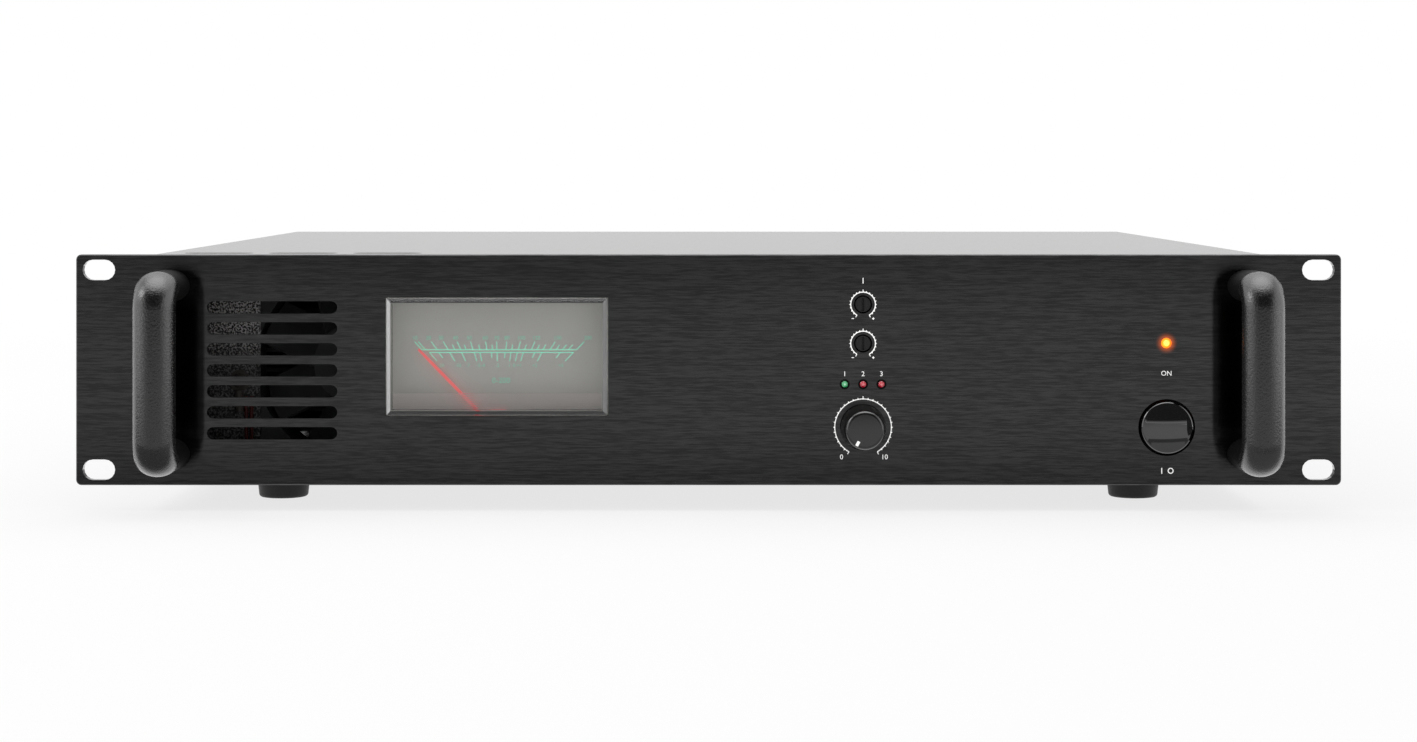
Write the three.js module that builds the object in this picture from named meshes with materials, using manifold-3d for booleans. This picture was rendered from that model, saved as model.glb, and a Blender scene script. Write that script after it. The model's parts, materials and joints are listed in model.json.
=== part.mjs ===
// A two-unit rack power amplifier with a needle meter, in millimetres, with Z up.
// X runs along the front panel, Y runs back from it and Z runs up. Every piece is drawn from the
// bottom middle of the panel's front face. The whole amplifier is then moved, so that its origin
// lies on the surface it stands on, under the middle of its outer box.

import * as THREE from 'three';
import { mergeVertices } from 'three/addons/utils/BufferGeometryUtils.js';
import Module from 'manifold-3d';

const wasm = await Module();
wasm.setup();

// Fits that every piece shares
const gap = 0.3;
const overrun = 1;

// Number of flats on round pieces
const sidesOf = { pin: 12, small: 16, medium: 24, large: 36 };

// Front panel, with the four slots that rack screws pass through
const panel = { width: 482.6, height: 88, thick: 3.2, corner: 2, chamfer: 0.4 };
const rackSlot = { pitchX: 465.1, pitchZ: 76.2, length: 12.4, width: 7.8 };
const vent = { x: -166.5, z: 43.8, length: 49.8, width: 4.75, pitch: 8, rows: 7 };

// Sheet metal body: how deep it is, and how far its top and bottom sit inside the panel's height
const body = { width: 430, depth: 400, sheet: 1.5, inset: 0.6, flange: 14, lip: 14 };
const innerPlate = { front: 32, meterWindow: 12, switchWindow: 14 };
const coverVent = { firstX: -193, pitch: 33.2, count: 3, length: 27.2, width: 8, behind: 36.3 };
const exhaust = { x: -142, length: 72, width: 4.75, pitch: 8, rows: 7 };

// Bow handles and the screws that hold them from behind the panel
const handle = { inFromWeb: 7.5, reach: 36, length: 76.7, width: 15.9, thick: 12.6, bend: 7.6 };
const handleScrew = { shank: 4.2, hole: 5.4, bite: 11, head: 8, headHigh: 3.1, clearHole: 9.4 };

// Feet, with a recess below for their screw
const foot = { x: 169.5, front: 50, rear: 355, top: 21.5, bottom: 19.2, drop: 10 };
const footRecess = { bore: 9, deep: 4, edge: 0.8 };

// Needle meter. Heights of the housing are counted from the middle of the window.
const meter = { x: -80.8, z: 49, width: 84.3, height: 44.6, proud: 1.5, bevel: 1.2 };
const lens = { wall: 1.9, face: 2, flange: 3, flangeThick: 1.5 };
const meterCase = { wall: 1.6, ledge: 2, below: 43, depth: 26.5 };
const dial = { front: 9.5, thick: 0.8, above: 23, below: 23 };
const needle = { pivotZ: 19.9, length: 43.9, width: 1.1, tip: 0.8, thick: 0.5, tail: 8, front: 7.2 };
const needleHub = { across: 6, thick: 1.6, shaft: 2, bore: 2.6, bite: 5 };
const movement = { across: 24 };
const needleRestDegrees = -44.2;

// Control group: trimmers, indicator lights and volume, all soldered to one board
const control = { x: 58.9, boardFront: 13, boardThick: 1.6, boardWidth: 32, boardLow: 10, boardHigh: 77 };
const trim = { treble: 68.95, bass: 54.05, hole: 7, rotor: 5.8, recess: 0.8, slot: 1, slotDeep: 1.2 };
const trimBody = { side: 10, deep: 5.7, seat: 3 };
const volume = { z: 22.1, bushing: 9, bushingReach: 4.5, pot: 16.5, bore: 6.6, shaft: 6, shaftDeep: 9 };
const nut = { across: 13.4, thick: 2 };
const knob = { base: 17.3, face: 14.6, reach: 14.3, lift: 0.6, round: 1.4, hollow: 14.6, hollowDeep: 4.5 };
const knobShaftReach = 12;
const pointer = { radius: 5.6, width: 1, length: 1.7, deep: 0.3 };
const pointerRestDegrees = -150;
const led = { pitch: 7, z: 38.5, bulb: 2.9, hole: 3.9, flange: 4.6, flangeThick: 1, proud: 0.9, lead: 0.5 };
const powerLed = { x: 174.6, z: 54.2 };
const ledHolder = { across: 6.5, deep: 6 };

// Power button, pressed in at rest, and the latching switch behind it
const button = { x: 174.7, z: 22, hole: 21.7, across: 19.9, proud: 2.2, skirt: 6.8, rim: 0.9, crown: 0.95 };
const plunger = { across: 6, bore: 6.6, reach: 18, boreDeep: 20 };
const latch = { side: 20, front: 12, tagWidth: 4.8, tagThick: 0.8, tagReach: 8, tagPitch: 7 };

// Fan behind the inner plate
const fan = { x: -140.1, z: 44, side: 80, depth: 25, duct: 76, window: 72, screwPitch: 71.5, screwHole: 4.3 };
const fanMotor = { hub: 31, plate: 3, arm: 5, tipGap: 1, hubFront: 2, axle: 3, axleBore: 3.6, axleBite: 2 };
const fanBlade = { count: 7, chord: 21, thick: 1.4, pitchDegrees: 38 };

// Heatsink in the fan's air stream, its transistors and the amplifier board
const sink = { left: -180, right: -100, front: 66, length: 190, base: 6, top: 80 };
const sinkFin = { thick: 1.6, pitch: 8, count: 9 };
const transistor = { width: 20, high: 26, thick: 5, low: 30, firstY: 92, pitch: 44, count: 4 };
const transistorLead = { width: 1.2, thick: 0.8, pitch: 5.4, count: 3 };
const board = { right: 20, front: 75, length: 175, thick: 1.6, lift: 8, post: 6, postInset: 6 };
const reservoir = { across: 35, high: 50, x: -10, firstY: 110, pitch: 45, count: 2 };
const reservoirGroove = { deep: 0.8, low: 4 };
const rectifier = { side: 28, high: 11, x: -50, y: 285, hole: 5, chamfer: 4 };

// Toroidal mains transformer and what clamps it to the base
const toroid = { x: 115, y: 150, across: 130, hole: 40, high: 55, round: 12 };
const toroidPad = { across: 126, hole: 30, thick: 2 };
const clampPlate = { across: 72, thick: 2.5, dish: 2, dishAcross: 36 };
const clampBolt = { shank: 8, hole: 8.6, head: 13, headHigh: 5.3, tail: 1.8 };

// Line output transformer: a laminated core with two windows and a coil round its middle leg
const core = { x: 115, y: 300, width: 96, stack: 46, high: 76, leg: 16, middleLeg: 32, yoke: 16 };
const coil = { overhang: 12 };

// Rear panel pieces, placed along the panel and up it
const rear = { z: 44 };
const inlet = { x: 165, tab: 5, high: 24, flange: 3, bodyWidth: 28, bodyHigh: 20.5, depth: 24 };
const inletRecess = { width: 24.4, high: 16.6, deep: 15.5, bevel: 4, screwPitch: 40, screwHole: 3.4 };
const inletPin = { width: 2, high: 4, reach: 9.5, pitch: 7, earthDrop: 3.5, lineRise: 3 };
const fuse = { x: 122, flange: 16, flangeThick: 2, cap: 12.5, reach: 10, barrel: 12, depth: 34 };
const fuseSlot = { width: 1.4, deep: 2 };
const strip = { x: 40, base: 5, high: 24, cell: 9, wall: 2, cells: 5, barrier: 8, tagDeep: 12, tagWidth: 5 };
const stripTag = { thick: 0.8, hole: 7 };
const socket = { firstX: -60, pitch: 26, count: 2, flange: 14, flangeThick: 2, shell: 8.3, reach: 11 };
const socketInside = { bore: 3.2, boreDeep: 8, barrel: 7.6, depth: 14 };
const groundPost = { x: -5, stud: 4, hole: 4.6, reach: 16, depth: 10 };
const groundNut = { washer: 10, washerThick: 1, across: 9, high: 7 };

// Heights and places that follow from the sizes above
const floorLow = body.inset;
const floorTop = floorLow + body.sheet;
const lidTop = panel.height - body.inset;
const lidLow = lidTop - body.sheet;
const bodyFront = panel.thick + gap;
const rearFront = body.depth - body.sheet;
const webOuter = body.width / 2 - body.sheet - gap;
const webInner = webOuter - body.sheet;
const handleX = webOuter - handle.inFromWeb;
const wallLow = floorTop + gap;
const wallHigh = lidLow - gap;
const innerBack = innerPlate.front + body.sheet;
const rearFace = body.depth + gap;
const boardLow = floorTop + board.lift + gap;
const boardTop = boardLow + board.thick;
const boardLeft = sink.right + 2 * gap;
const gripRise = handle.length / 2 - handle.thick / 2;
const lensFlangeWidth = meter.width + 2 * lens.flange;
const lensFlangeHigh = meter.height + 2 * lens.flange;

// Finishes, one for each kind of surface
const finish = {
  anodised: { color: 0x201f20, roughness: 0.32, metalness: 0.1 },
  enamel: { color: 0x2b2b2b, roughness: 0.45, metalness: 0 },
  powderCoat: { color: 0x262626, roughness: 0.6, metalness: 0 },
  zinc: { color: 0xb4b6b4, roughness: 0.35, metalness: 0.9 },
  rubber: { color: 0x1c1b1b, roughness: 0.85, metalness: 0 },
  plastic: { color: 0x1a1a1a, roughness: 0.55, metalness: 0 },
  gloss: { color: 0x101010, roughness: 0.08, metalness: 0 },
  clear: { color: 0xe8ecec, roughness: 0.05, metalness: 0, transparent: true, opacity: 0.35 },
  dialGrey: { color: 0x8e8c85, roughness: 0.6, metalness: 0 },
  needleRed: { color: 0xe15a5f, roughness: 0.5, metalness: 0 },
  green: { color: 0x2f9e5c, roughness: 0.2, metalness: 0 },
  red: { color: 0xb11630, roughness: 0.2, metalness: 0 },
  amber: { color: 0xff9a1c, roughness: 0.2, metalness: 0 },
  circuit: { color: 0x1f5a34, roughness: 0.5, metalness: 0 },
  aluminium: { color: 0x9fa3a6, roughness: 0.4, metalness: 0.9 },
  epoxy: { color: 0x1d1d20, roughness: 0.6, metalness: 0 },
  sleeve: { color: 0x24304a, roughness: 0.5, metalness: 0 },
  tape: { color: 0xb08a3a, roughness: 0.6, metalness: 0 },
  iron: { color: 0x54565a, roughness: 0.6, metalness: 0.6 },
  brass: { color: 0xc9a14a, roughness: 0.35, metalness: 0.9 },
};

// Solids from outlines

function toSolid(geometry) {
  const bare = geometry.index ? geometry.toNonIndexed() : geometry.clone();
  bare.deleteAttribute('normal');
  bare.deleteAttribute('uv');
  const merged = mergeVertices(bare);
  const vertProperties = new Float32Array(merged.attributes.position.array);
  const triVerts = new Uint32Array(merged.index.array);
  return new wasm.Manifold(new wasm.Mesh({ numProp: 3, vertProperties, triVerts }));
}

function toGeometry(solid) {
  const mesh = solid.getMesh();
  const geometry = new THREE.BufferGeometry();
  geometry.setAttribute('position', new THREE.BufferAttribute(new Float32Array(mesh.vertProperties), 3));
  geometry.setIndex(new THREE.BufferAttribute(new Uint32Array(mesh.triVerts), 1));
  return geometry;
}

function join(first, ...others) {
  return toGeometry(others.reduce((sum, next) => sum.add(toSolid(next)), toSolid(first)));
}

function cut(first, ...tools) {
  return toGeometry(tools.reduce((rest, tool) => rest.subtract(toSolid(tool)), toSolid(first)));
}

function keepInside(first, limit) {
  return toGeometry(toSolid(first).intersect(toSolid(limit)));
}

// A box between two corners
function box(low, high) {
  const size = high.map((value, axis) => value - low[axis]);
  const middle = high.map((value, axis) => (value + low[axis]) / 2);
  return new THREE.BoxGeometry(...size).translate(...middle);
}

// A flat outline in X and Z, given thickness along Y
function upright(outline, front, back) {
  const geometry = new THREE.ExtrudeGeometry(outline, { depth: back - front, bevelEnabled: false });
  return geometry.rotateX(Math.PI / 2).translate(0, back, 0);
}

// A flat outline in X and Y, given thickness along Z
function lying(outline, low, high) {
  const geometry = new THREE.ExtrudeGeometry(outline, { depth: high - low, bevelEnabled: false });
  return geometry.translate(0, 0, low);
}

// The same two with openings right through them
function uprightPierced(outline, openings, front, back) {
  return cut(upright(outline, front, back), upright(openings, front - overrun, back + overrun));
}

function lyingPierced(outline, openings, low, high) {
  return cut(lying(outline, low, high), lying(openings, low - overrun, high + overrun));
}

// A profile of [radius, distance along Y] points turned about the Y axis
function turned(profile, sides) {
  return new THREE.LatheGeometry(profile.map(([radius, along]) => new THREE.Vector2(radius, along)), sides);
}

// The same about the Z axis
function standing(profile, sides) {
  return turned(profile, sides).rotateX(Math.PI / 2);
}

function rod(across, front, back, sides) {
  const radius = across / 2;
  return turned([[0, front], [radius, front], [radius, back], [0, back]], sides);
}

function post(across, low, high, sides) {
  const radius = across / 2;
  return standing([[0, low], [radius, low], [radius, high], [0, high]], sides);
}

function rectangle(width, height, x = 0, y = 0) {
  const shape = new THREE.Shape();
  shape.moveTo(x - width / 2, y - height / 2);
  shape.lineTo(x + width / 2, y - height / 2);
  shape.lineTo(x + width / 2, y + height / 2);
  shape.lineTo(x - width / 2, y + height / 2);
  shape.closePath();
  return shape;
}

// A rectangle whose corners are quarter circles, of a few flats each
function roundedRectangle(width, height, radius, x = 0, y = 0, flats = 4) {
  const points = [];
  const turns = [[1, 1, 0], [-1, 1, 1], [-1, -1, 2], [1, -1, 3]];
  for (const [sideX, sideY, quarter] of turns) {
    for (let step = 0; step <= flats; step += 1) {
      const angle = (quarter + step / flats) * Math.PI / 2;
      const centreX = x + sideX * (width / 2 - radius);
      const centreY = y + sideY * (height / 2 - radius);
      points.push(new THREE.Vector2(centreX + radius * Math.cos(angle), centreY + radius * Math.sin(angle)));
    }
  }
  return new THREE.Shape(points);
}

function circle(across, x, y, flats) {
  const points = [];
  for (let step = 0; step < flats; step += 1) {
    const angle = step / flats * Math.PI * 2;
    points.push(new THREE.Vector2(x + across / 2 * Math.cos(angle), y + across / 2 * Math.sin(angle)));
  }
  return new THREE.Shape(points);
}

// A slot with round ends, longer than it is high
function slot(length, width, x, y, flats = 8) {
  const points = [];
  for (const side of [1, -1]) {
    for (let step = 0; step <= flats; step += 1) {
      const angle = (step / flats - side / 2) * Math.PI;
      const centreX = x + side * (length - width) / 2;
      points.push(new THREE.Vector2(centreX + width / 2 * Math.cos(angle), y + width / 2 * Math.sin(angle)));
    }
  }
  return new THREE.Shape(points);
}

function polygon(points) {
  return new THREE.Shape(points.map(([x, y]) => new THREE.Vector2(x, y)));
}

// Rows of slots, one above the other about a middle height
function slotRows(grille, middleZ) {
  const shapes = [];
  for (let row = 0; row < grille.rows; row += 1) {
    const z = middleZ + (row - (grille.rows - 1) / 2) * grille.pitch;
    shapes.push(slot(grille.length, grille.width, grille.x, z, 6));
  }
  return shapes;
}

function piece(name, geometry, look, place = [0, 0, 0]) {
  const mesh = new THREE.Mesh(geometry, new THREE.MeshStandardMaterial(look));
  mesh.name = name;
  mesh.position.set(...place);
  return mesh;
}

function group(place, ...members) {
  const assembly = new THREE.Group();
  assembly.position.set(...place);
  assembly.add(...members);
  return assembly;
}

// Front panel

function panelOpenings() {
  const shapes = slotRows(vent, vent.z);
  for (const side of [-1, 1]) {
    for (const level of [-1, 1]) {
      const slotX = side * rackSlot.pitchX / 2;
      const slotZ = panel.height / 2 + level * rackSlot.pitchZ / 2;
      shapes.push(slot(rackSlot.length, rackSlot.width, slotX, slotZ));
      const screwZ = panel.height / 2 + level * gripRise;
      shapes.push(circle(handleScrew.hole, side * handleX, screwZ, sidesOf.pin));
    }
    shapes.push(circle(led.hole, control.x + side * led.pitch, led.z, sidesOf.small));
  }
  shapes.push(rectangle(meter.width + 2 * gap, meter.height + 2 * gap, meter.x, meter.z));
  shapes.push(circle(led.hole, control.x, led.z, sidesOf.small));
  shapes.push(circle(led.hole, powerLed.x, powerLed.z, sidesOf.small));
  shapes.push(circle(trim.hole, control.x, trim.treble, sidesOf.medium));
  shapes.push(circle(trim.hole, control.x, trim.bass, sidesOf.medium));
  shapes.push(circle(volume.bushing + 2 * gap, control.x, volume.z, sidesOf.medium));
  shapes.push(circle(button.hole, button.x, button.z, sidesOf.large));
  return shapes;
}

function frontPanel() {
  const small = panel.chamfer;
  const outline = roundedRectangle(
    panel.width - 2 * small, panel.height - 2 * small, panel.corner - small, 0, panel.height / 2);
  const blank = new THREE.ExtrudeGeometry(outline, {
    depth: panel.thick - 2 * small, bevelThickness: small, bevelSize: small, bevelSegments: 1,
  });
  blank.rotateX(Math.PI / 2).translate(0, panel.thick - small, 0);
  const openings = upright(panelOpenings(), -overrun, panel.thick + overrun);
  return piece('front_panel', cut(blank, openings), finish.anodised);
}

// Bow handles

class BowPath extends THREE.Curve {
  // Out from the panel, round a bend, up along the panel, round a bend and back to the panel
  constructor(start, out, bend, rise) {
    super();
    this.start = start;
    this.out = out;
    this.bend = bend;
    this.rise = rise;
    this.arc = bend * Math.PI / 2;
    this.half = (start - out) + this.arc + rise;
  }

  getPoint(share, target = new THREE.Vector3()) {
    const along = share * 2 * this.half;
    const upper = along > this.half;
    const fromEnd = upper ? 2 * this.half - along : along;
    const straight = this.start - this.out;
    const low = -this.rise - this.bend;
    let y = this.start - fromEnd;
    let z = low;
    if (fromEnd > straight + this.arc) {
      y = this.out - this.bend;
      z = low + this.bend + (fromEnd - straight - this.arc);
    } else if (fromEnd > straight) {
      const angle = (fromEnd - straight) / this.bend;
      y = this.out - this.bend * Math.sin(angle);
      z = low + this.bend * (1 - Math.cos(angle));
    }
    return target.set(0, y, upper ? -z : z);
  }
}

function bowHandle(name, side) {
  const bendCentre = -(handle.reach - handle.thick / 2 - handle.bend);
  const path = new BowPath(-gap, bendCentre, handle.bend, gripRise - handle.bend);
  const section = new THREE.Shape();
  section.absellipse(0, 0, handle.thick / 2, handle.width / 2, 0, Math.PI * 2);
  const bar = new THREE.ExtrudeGeometry(section, {
    steps: 48, curveSegments: 8, extrudePath: path, bevelEnabled: false,
  });
  const bores = [-1, 1].map((level) => (
    rod(handleScrew.shank + 2 * gap, -handleScrew.bite - gap, overrun, sidesOf.pin)
      .translate(0, 0, level * gripRise)));
  return piece(name, cut(bar, ...bores), finish.enamel, [side * handleX, 0, panel.height / 2]);
}

function screwFromBehind(name, x, z) {
  const shank = handleScrew.shank / 2;
  const head = handleScrew.head / 2;
  const seat = panel.thick + gap;
  const profile = [
    [0, -handleScrew.bite], [shank, -handleScrew.bite], [shank, seat], [head, seat],
    [head, seat + handleScrew.headHigh], [0, seat + handleScrew.headHigh],
  ];
  return piece(name, turned(profile, sidesOf.pin), finish.zinc, [x, 0, z]);
}

function handleSet(label, side) {
  const x = side * handleX;
  return group([0, 0, 0],
    bowHandle(`handle_${label}`, side),
    screwFromBehind(`handle_screw_${label}_lower`, x, panel.height / 2 - gripRise),
    screwFromBehind(`handle_screw_${label}_upper`, x, panel.height / 2 + gripRise));
}

// Sheet metal body

function basePlate() {
  const half = body.width / 2;
  const sheet = box([-half, bodyFront, floorLow], [half, body.depth, floorTop]);
  const posts = [];
  for (const x of [boardLeft + board.postInset, board.right - board.postInset]) {
    for (const y of [board.front + board.postInset, board.front + board.length - board.postInset]) {
      posts.push(post(board.post, floorLow, floorTop + board.lift, sidesOf.pin).translate(x, y, 0));
    }
  }
  const boltHole = post(clampBolt.hole, floorLow - overrun, floorTop + overrun, sidesOf.small)
    .translate(toroid.x, toroid.y, 0);
  return piece('base_plate', cut(join(sheet, ...posts), boltHole), finish.powderCoat);
}

function sidePanel(name, side) {
  const t = body.sheet;
  const inside = webOuter - body.flange;
  const channel = upright(polygon([
    [side * webOuter, wallLow], [side * inside, wallLow], [side * inside, wallLow + t],
    [side * webInner, wallLow + t], [side * webInner, wallHigh - t], [side * inside, wallHigh - t],
    [side * inside, wallHigh], [side * webOuter, wallHigh],
  ]), bodyFront, rearFront - gap);
  const fold = box(
    [Math.min(side * webOuter, side * inside), bodyFront, wallLow],
    [Math.max(side * webOuter, side * inside), bodyFront + t, wallHigh]);
  const holes = [-1, 1].map((level) => (
    rod(handleScrew.clearHole, bodyFront - overrun, bodyFront + t + overrun, sidesOf.small)
      .translate(side * handleX, 0, panel.height / 2 + level * gripRise)));
  return piece(name, cut(join(channel, fold), ...holes), finish.powderCoat);
}

function innerFrontPlate() {
  const half = webInner - gap;
  const low = wallLow + body.sheet + gap;
  const high = wallHigh - body.sheet - gap;
  const outline = rectangle(2 * half, high - low, 0, (low + high) / 2);
  const windows = [
    rectangle(fan.window, fan.window, fan.x, fan.z),
    rectangle(innerPlate.meterWindow, innerPlate.meterWindow, meter.x, needle.pivotZ),
    rectangle(innerPlate.switchWindow, innerPlate.switchWindow, button.x, button.z),
  ];
  const sheet = uprightPierced(outline, windows, innerPlate.front, innerBack);
  return piece('inner_front_plate', sheet, finish.powderCoat);
}

function rearOpenings() {
  const shapes = slotRows(exhaust, rear.z);
  shapes.push(rectangle(inlet.bodyWidth + 2 * gap, inlet.bodyHigh + 2 * gap, inlet.x, rear.z));
  shapes.push(circle(fuse.barrel + 2 * gap, fuse.x, rear.z, sidesOf.medium));
  shapes.push(circle(groundPost.hole, groundPost.x, rear.z, sidesOf.pin));
  const tags = strip.cells * (strip.cell + strip.wall) - strip.wall;
  shapes.push(rectangle(tags, stripTag.hole, strip.x, rear.z));
  for (let index = 0; index < socket.count; index += 1) {
    const x = socket.firstX - index * socket.pitch;
    shapes.push(circle(socketInside.barrel + 2 * gap, x, rear.z, sidesOf.small));
  }
  return shapes;
}

function rearPanel() {
  const half = webInner - gap;
  const sheet = upright(
    rectangle(2 * half, wallHigh - wallLow, 0, (wallLow + wallHigh) / 2), rearFront, body.depth);
  const foldHalf = webOuter - body.flange - gap;
  const fold = box(
    [-foldHalf, rearFront - body.flange, wallHigh - body.sheet], [foldHalf, body.depth, wallHigh]);
  const openings = upright(rearOpenings(), rearFront - overrun, body.depth + overrun);
  return piece('rear_panel', cut(join(sheet, fold), openings), finish.powderCoat);
}

function topCover() {
  const half = body.width / 2;
  const t = body.sheet;
  const lipLow = lidTop - body.lip;
  const profile = polygon([
    [-half, lipLow], [-half + t, lipLow], [-half + t, lidLow], [half - t, lidLow],
    [half - t, lipLow], [half, lipLow], [half, lidTop], [-half, lidTop],
  ]);
  const shapes = [];
  for (let index = 0; index < coverVent.count; index += 1) {
    const x = coverVent.firstX + index * coverVent.pitch;
    shapes.push(slot(coverVent.length, coverVent.width, x, coverVent.behind));
  }
  const slots = lying(shapes, lidLow - overrun, lidTop + overrun);
  return piece('top_cover', cut(upright(profile, bodyFront, body.depth), slots), finish.powderCoat);
}

function footAt(name, x, y) {
  const top = floorLow - gap;
  const wide = foot.top / 2;
  const narrow = foot.bottom / 2;
  const recess = footRecess.bore / 2;
  const profile = [
    [0, -foot.drop + footRecess.deep], [recess, -foot.drop + footRecess.deep], [recess, -foot.drop],
    [narrow - footRecess.edge, -foot.drop], [narrow, -foot.drop + footRecess.edge], [wide, top], [0, top],
  ];
  return piece(name, standing(profile, sidesOf.medium), finish.rubber, [x, y, 0]);
}

// Needle meter

function meterWindow() {
  const face = rectangle(meter.width - 2 * meter.bevel, meter.height - 2 * meter.bevel);
  const bevelled = new THREE.ExtrudeGeometry(face, {
    depth: meter.proud + panel.thick + gap,
    bevelThickness: meter.bevel,
    bevelSize: meter.bevel,
    bevelSegments: 1,
  });
  bevelled.rotateX(Math.PI / 2).translate(0, meter.bevel + panel.thick + gap, 0);
  const front = box(
    [-meter.width, -meter.proud, -meter.height], [meter.width, panel.thick + gap, meter.height]);
  const flangeBack = panel.thick + gap + lens.flangeThick;
  const flange = upright(rectangle(lensFlangeWidth, lensFlangeHigh), panel.thick + gap, flangeBack);
  const hollow = upright(
    rectangle(meter.width - 2 * lens.wall, meter.height - 2 * lens.wall),
    lens.face - meter.proud, flangeBack + overrun);
  return piece('meter_window', cut(join(keepInside(bevelled, front), flange), hollow), finish.clear);
}

function meterHousing() {
  const halfWide = lensFlangeWidth / 2 + gap + meterCase.wall;
  const high = lensFlangeHigh / 2 + gap + meterCase.wall;
  const front = panel.thick + gap;
  const ledgeFront = front + lens.flangeThick + gap;
  const back = front + meterCase.depth;
  const shell = box([-halfWide, front, -meterCase.below], [halfWide, back, high]);
  const pocket = upright(
    rectangle(lensFlangeWidth + 2 * gap, lensFlangeHigh + 2 * gap), front - overrun, ledgeFront);
  const insideWide = lensFlangeWidth / 2 - meterCase.ledge;
  const insideHigh = lensFlangeHigh / 2 - meterCase.ledge;
  const inside = box(
    [-insideWide, ledgeFront, meterCase.wall - meterCase.below],
    [insideWide, back - meterCase.wall, insideHigh]);
  const throat = box(
    [-insideWide, front + lens.flangeThick, -insideHigh], [insideWide, ledgeFront + overrun, insideHigh]);
  return piece('meter_housing', cut(shell, pocket, inside, throat), finish.plastic);
}

function meterDial() {
  const halfWide = lensFlangeWidth / 2 - meterCase.ledge - gap;
  const plate = box([-halfWide, dial.front, -dial.below], [halfWide, dial.front + dial.thick, dial.above]);
  return piece('meter_dial', plate, finish.dialGrey);
}

function meterMovement() {
  const front = dial.front + dial.thick + gap;
  const back = panel.thick + gap + meterCase.depth - meterCase.wall - gap;
  const magnet = rod(movement.across, front, back, sidesOf.medium);
  const bore = rod(needleHub.bore, front - overrun, front + needleHub.bite + gap, sidesOf.pin);
  const place = [0, 0, needle.pivotZ - meter.z];
  return piece('meter_movement', cut(magnet, bore), finish.zinc, place);
}

function meterNeedle() {
  const hubRadius = needleHub.across / 2;
  const pointer = upright(polygon([
    [-needle.width / 2, -needle.tail], [needle.width / 2, -needle.tail],
    [needle.width / 2, needle.length - needle.tail], [needle.tip / 2, needle.length],
    [-needle.tip / 2, needle.length], [-needle.width / 2, needle.length - needle.tail],
  ]), needle.front, needle.front + needle.thick);
  const hubBack = needle.front + needleHub.thick;
  const shaftBack = dial.front + dial.thick + gap + needleHub.bite;
  const hub = turned([
    [0, needle.front - needle.thick], [hubRadius, needle.front - needle.thick], [hubRadius, hubBack],
    [needleHub.shaft / 2, hubBack], [needleHub.shaft / 2, shaftBack], [0, shaftBack],
  ], sidesOf.small);
  const mesh = piece('meter_needle', join(hub, pointer), finish.needleRed, [0, 0, needle.pivotZ - meter.z]);
  mesh.rotation.y = THREE.MathUtils.degToRad(needleRestDegrees);
  return mesh;
}

function meterAssembly() {
  return group([meter.x, 0, meter.z],
    meterHousing(), meterDial(), meterWindow(), meterMovement(), meterNeedle());
}

// Controls

function controlBoard() {
  const half = control.boardWidth / 2;
  const back = control.boardFront + control.boardThick;
  const sheet = box([-half, control.boardFront, control.boardLow], [half, back, control.boardHigh]);
  return piece('control_board', sheet, finish.circuit);
}

function trimmer(label, z) {
  const bodyBack = control.boardFront - gap;
  const bodyFace = bodyBack - trimBody.deep;
  const half = trimBody.side / 2;
  const shell = box([-half, bodyFace, -half], [half, bodyBack, half]);
  const seat = rod(trim.rotor + 2 * gap, bodyFace - overrun, bodyFace + trimBody.seat, sidesOf.small);
  const rotor = rod(trim.rotor, trim.recess, bodyFace + trimBody.seat - gap, sidesOf.medium);
  const groove = box(
    [-trim.slot / 2, trim.recess - overrun, -trim.rotor],
    [trim.slot / 2, trim.recess + trim.slotDeep, trim.rotor]);
  return group([0, 0, z],
    piece(`${label}_pot`, cut(shell, seat), finish.plastic),
    piece(`${label}_trim`, cut(rotor, groove), finish.plastic));
}

function volumePot() {
  const back = control.boardFront - gap;
  const front = panel.thick + gap;
  const shell = turned([
    [0, -volume.bushingReach], [volume.bushing / 2, -volume.bushingReach], [volume.bushing / 2, front],
    [volume.pot / 2, front], [volume.pot / 2, back], [0, back],
  ], sidesOf.medium);
  const bore = rod(volume.bore, -volume.bushingReach - overrun, volume.shaftDeep + gap, sidesOf.small);
  return piece('volume_pot', cut(shell, bore), finish.zinc);
}

function volumeNut() {
  const hexagon = circle(nut.across, 0, 0, 6);
  const hole = circle(volume.bushing + 2 * gap, 0, 0, sidesOf.medium);
  return piece('volume_nut', uprightPierced(hexagon, hole, -gap - nut.thick, -gap), finish.zinc);
}

function volumeShaft() {
  const shaft = rod(volume.shaft, -knobShaftReach, volume.shaftDeep, sidesOf.small);
  return piece('volume_shaft', shaft, finish.aluminium);
}

function volumeKnob() {
  const base = knob.base / 2;
  const face = knob.face / 2;
  const profile = [[0, -knob.reach]];
  for (let step = 0; step <= 3; step += 1) {
    const angle = step / 3 * Math.PI / 2;
    const radius = face - knob.round * (1 - Math.sin(angle));
    profile.push([radius, -knob.reach + knob.round * (1 - Math.cos(angle))]);
  }
  profile.push([base, -knob.lift], [0, -knob.lift]);
  const hollow = rod(knob.hollow, -knob.lift - knob.hollowDeep, overrun, sidesOf.medium);
  const bore = rod(volume.shaft + 2 * gap, -knobShaftReach - gap, overrun, sidesOf.small);
  const notch = box(
    [-pointer.width / 2, -knob.reach - overrun, pointer.radius - pointer.length / 2],
    [pointer.width / 2, -knob.reach + pointer.deep, pointer.radius + pointer.length / 2]);
  notch.rotateY(THREE.MathUtils.degToRad(pointerRestDegrees));
  return piece('volume_knob', cut(turned(profile, sidesOf.large), hollow, bore, notch), finish.plastic);
}

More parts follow.
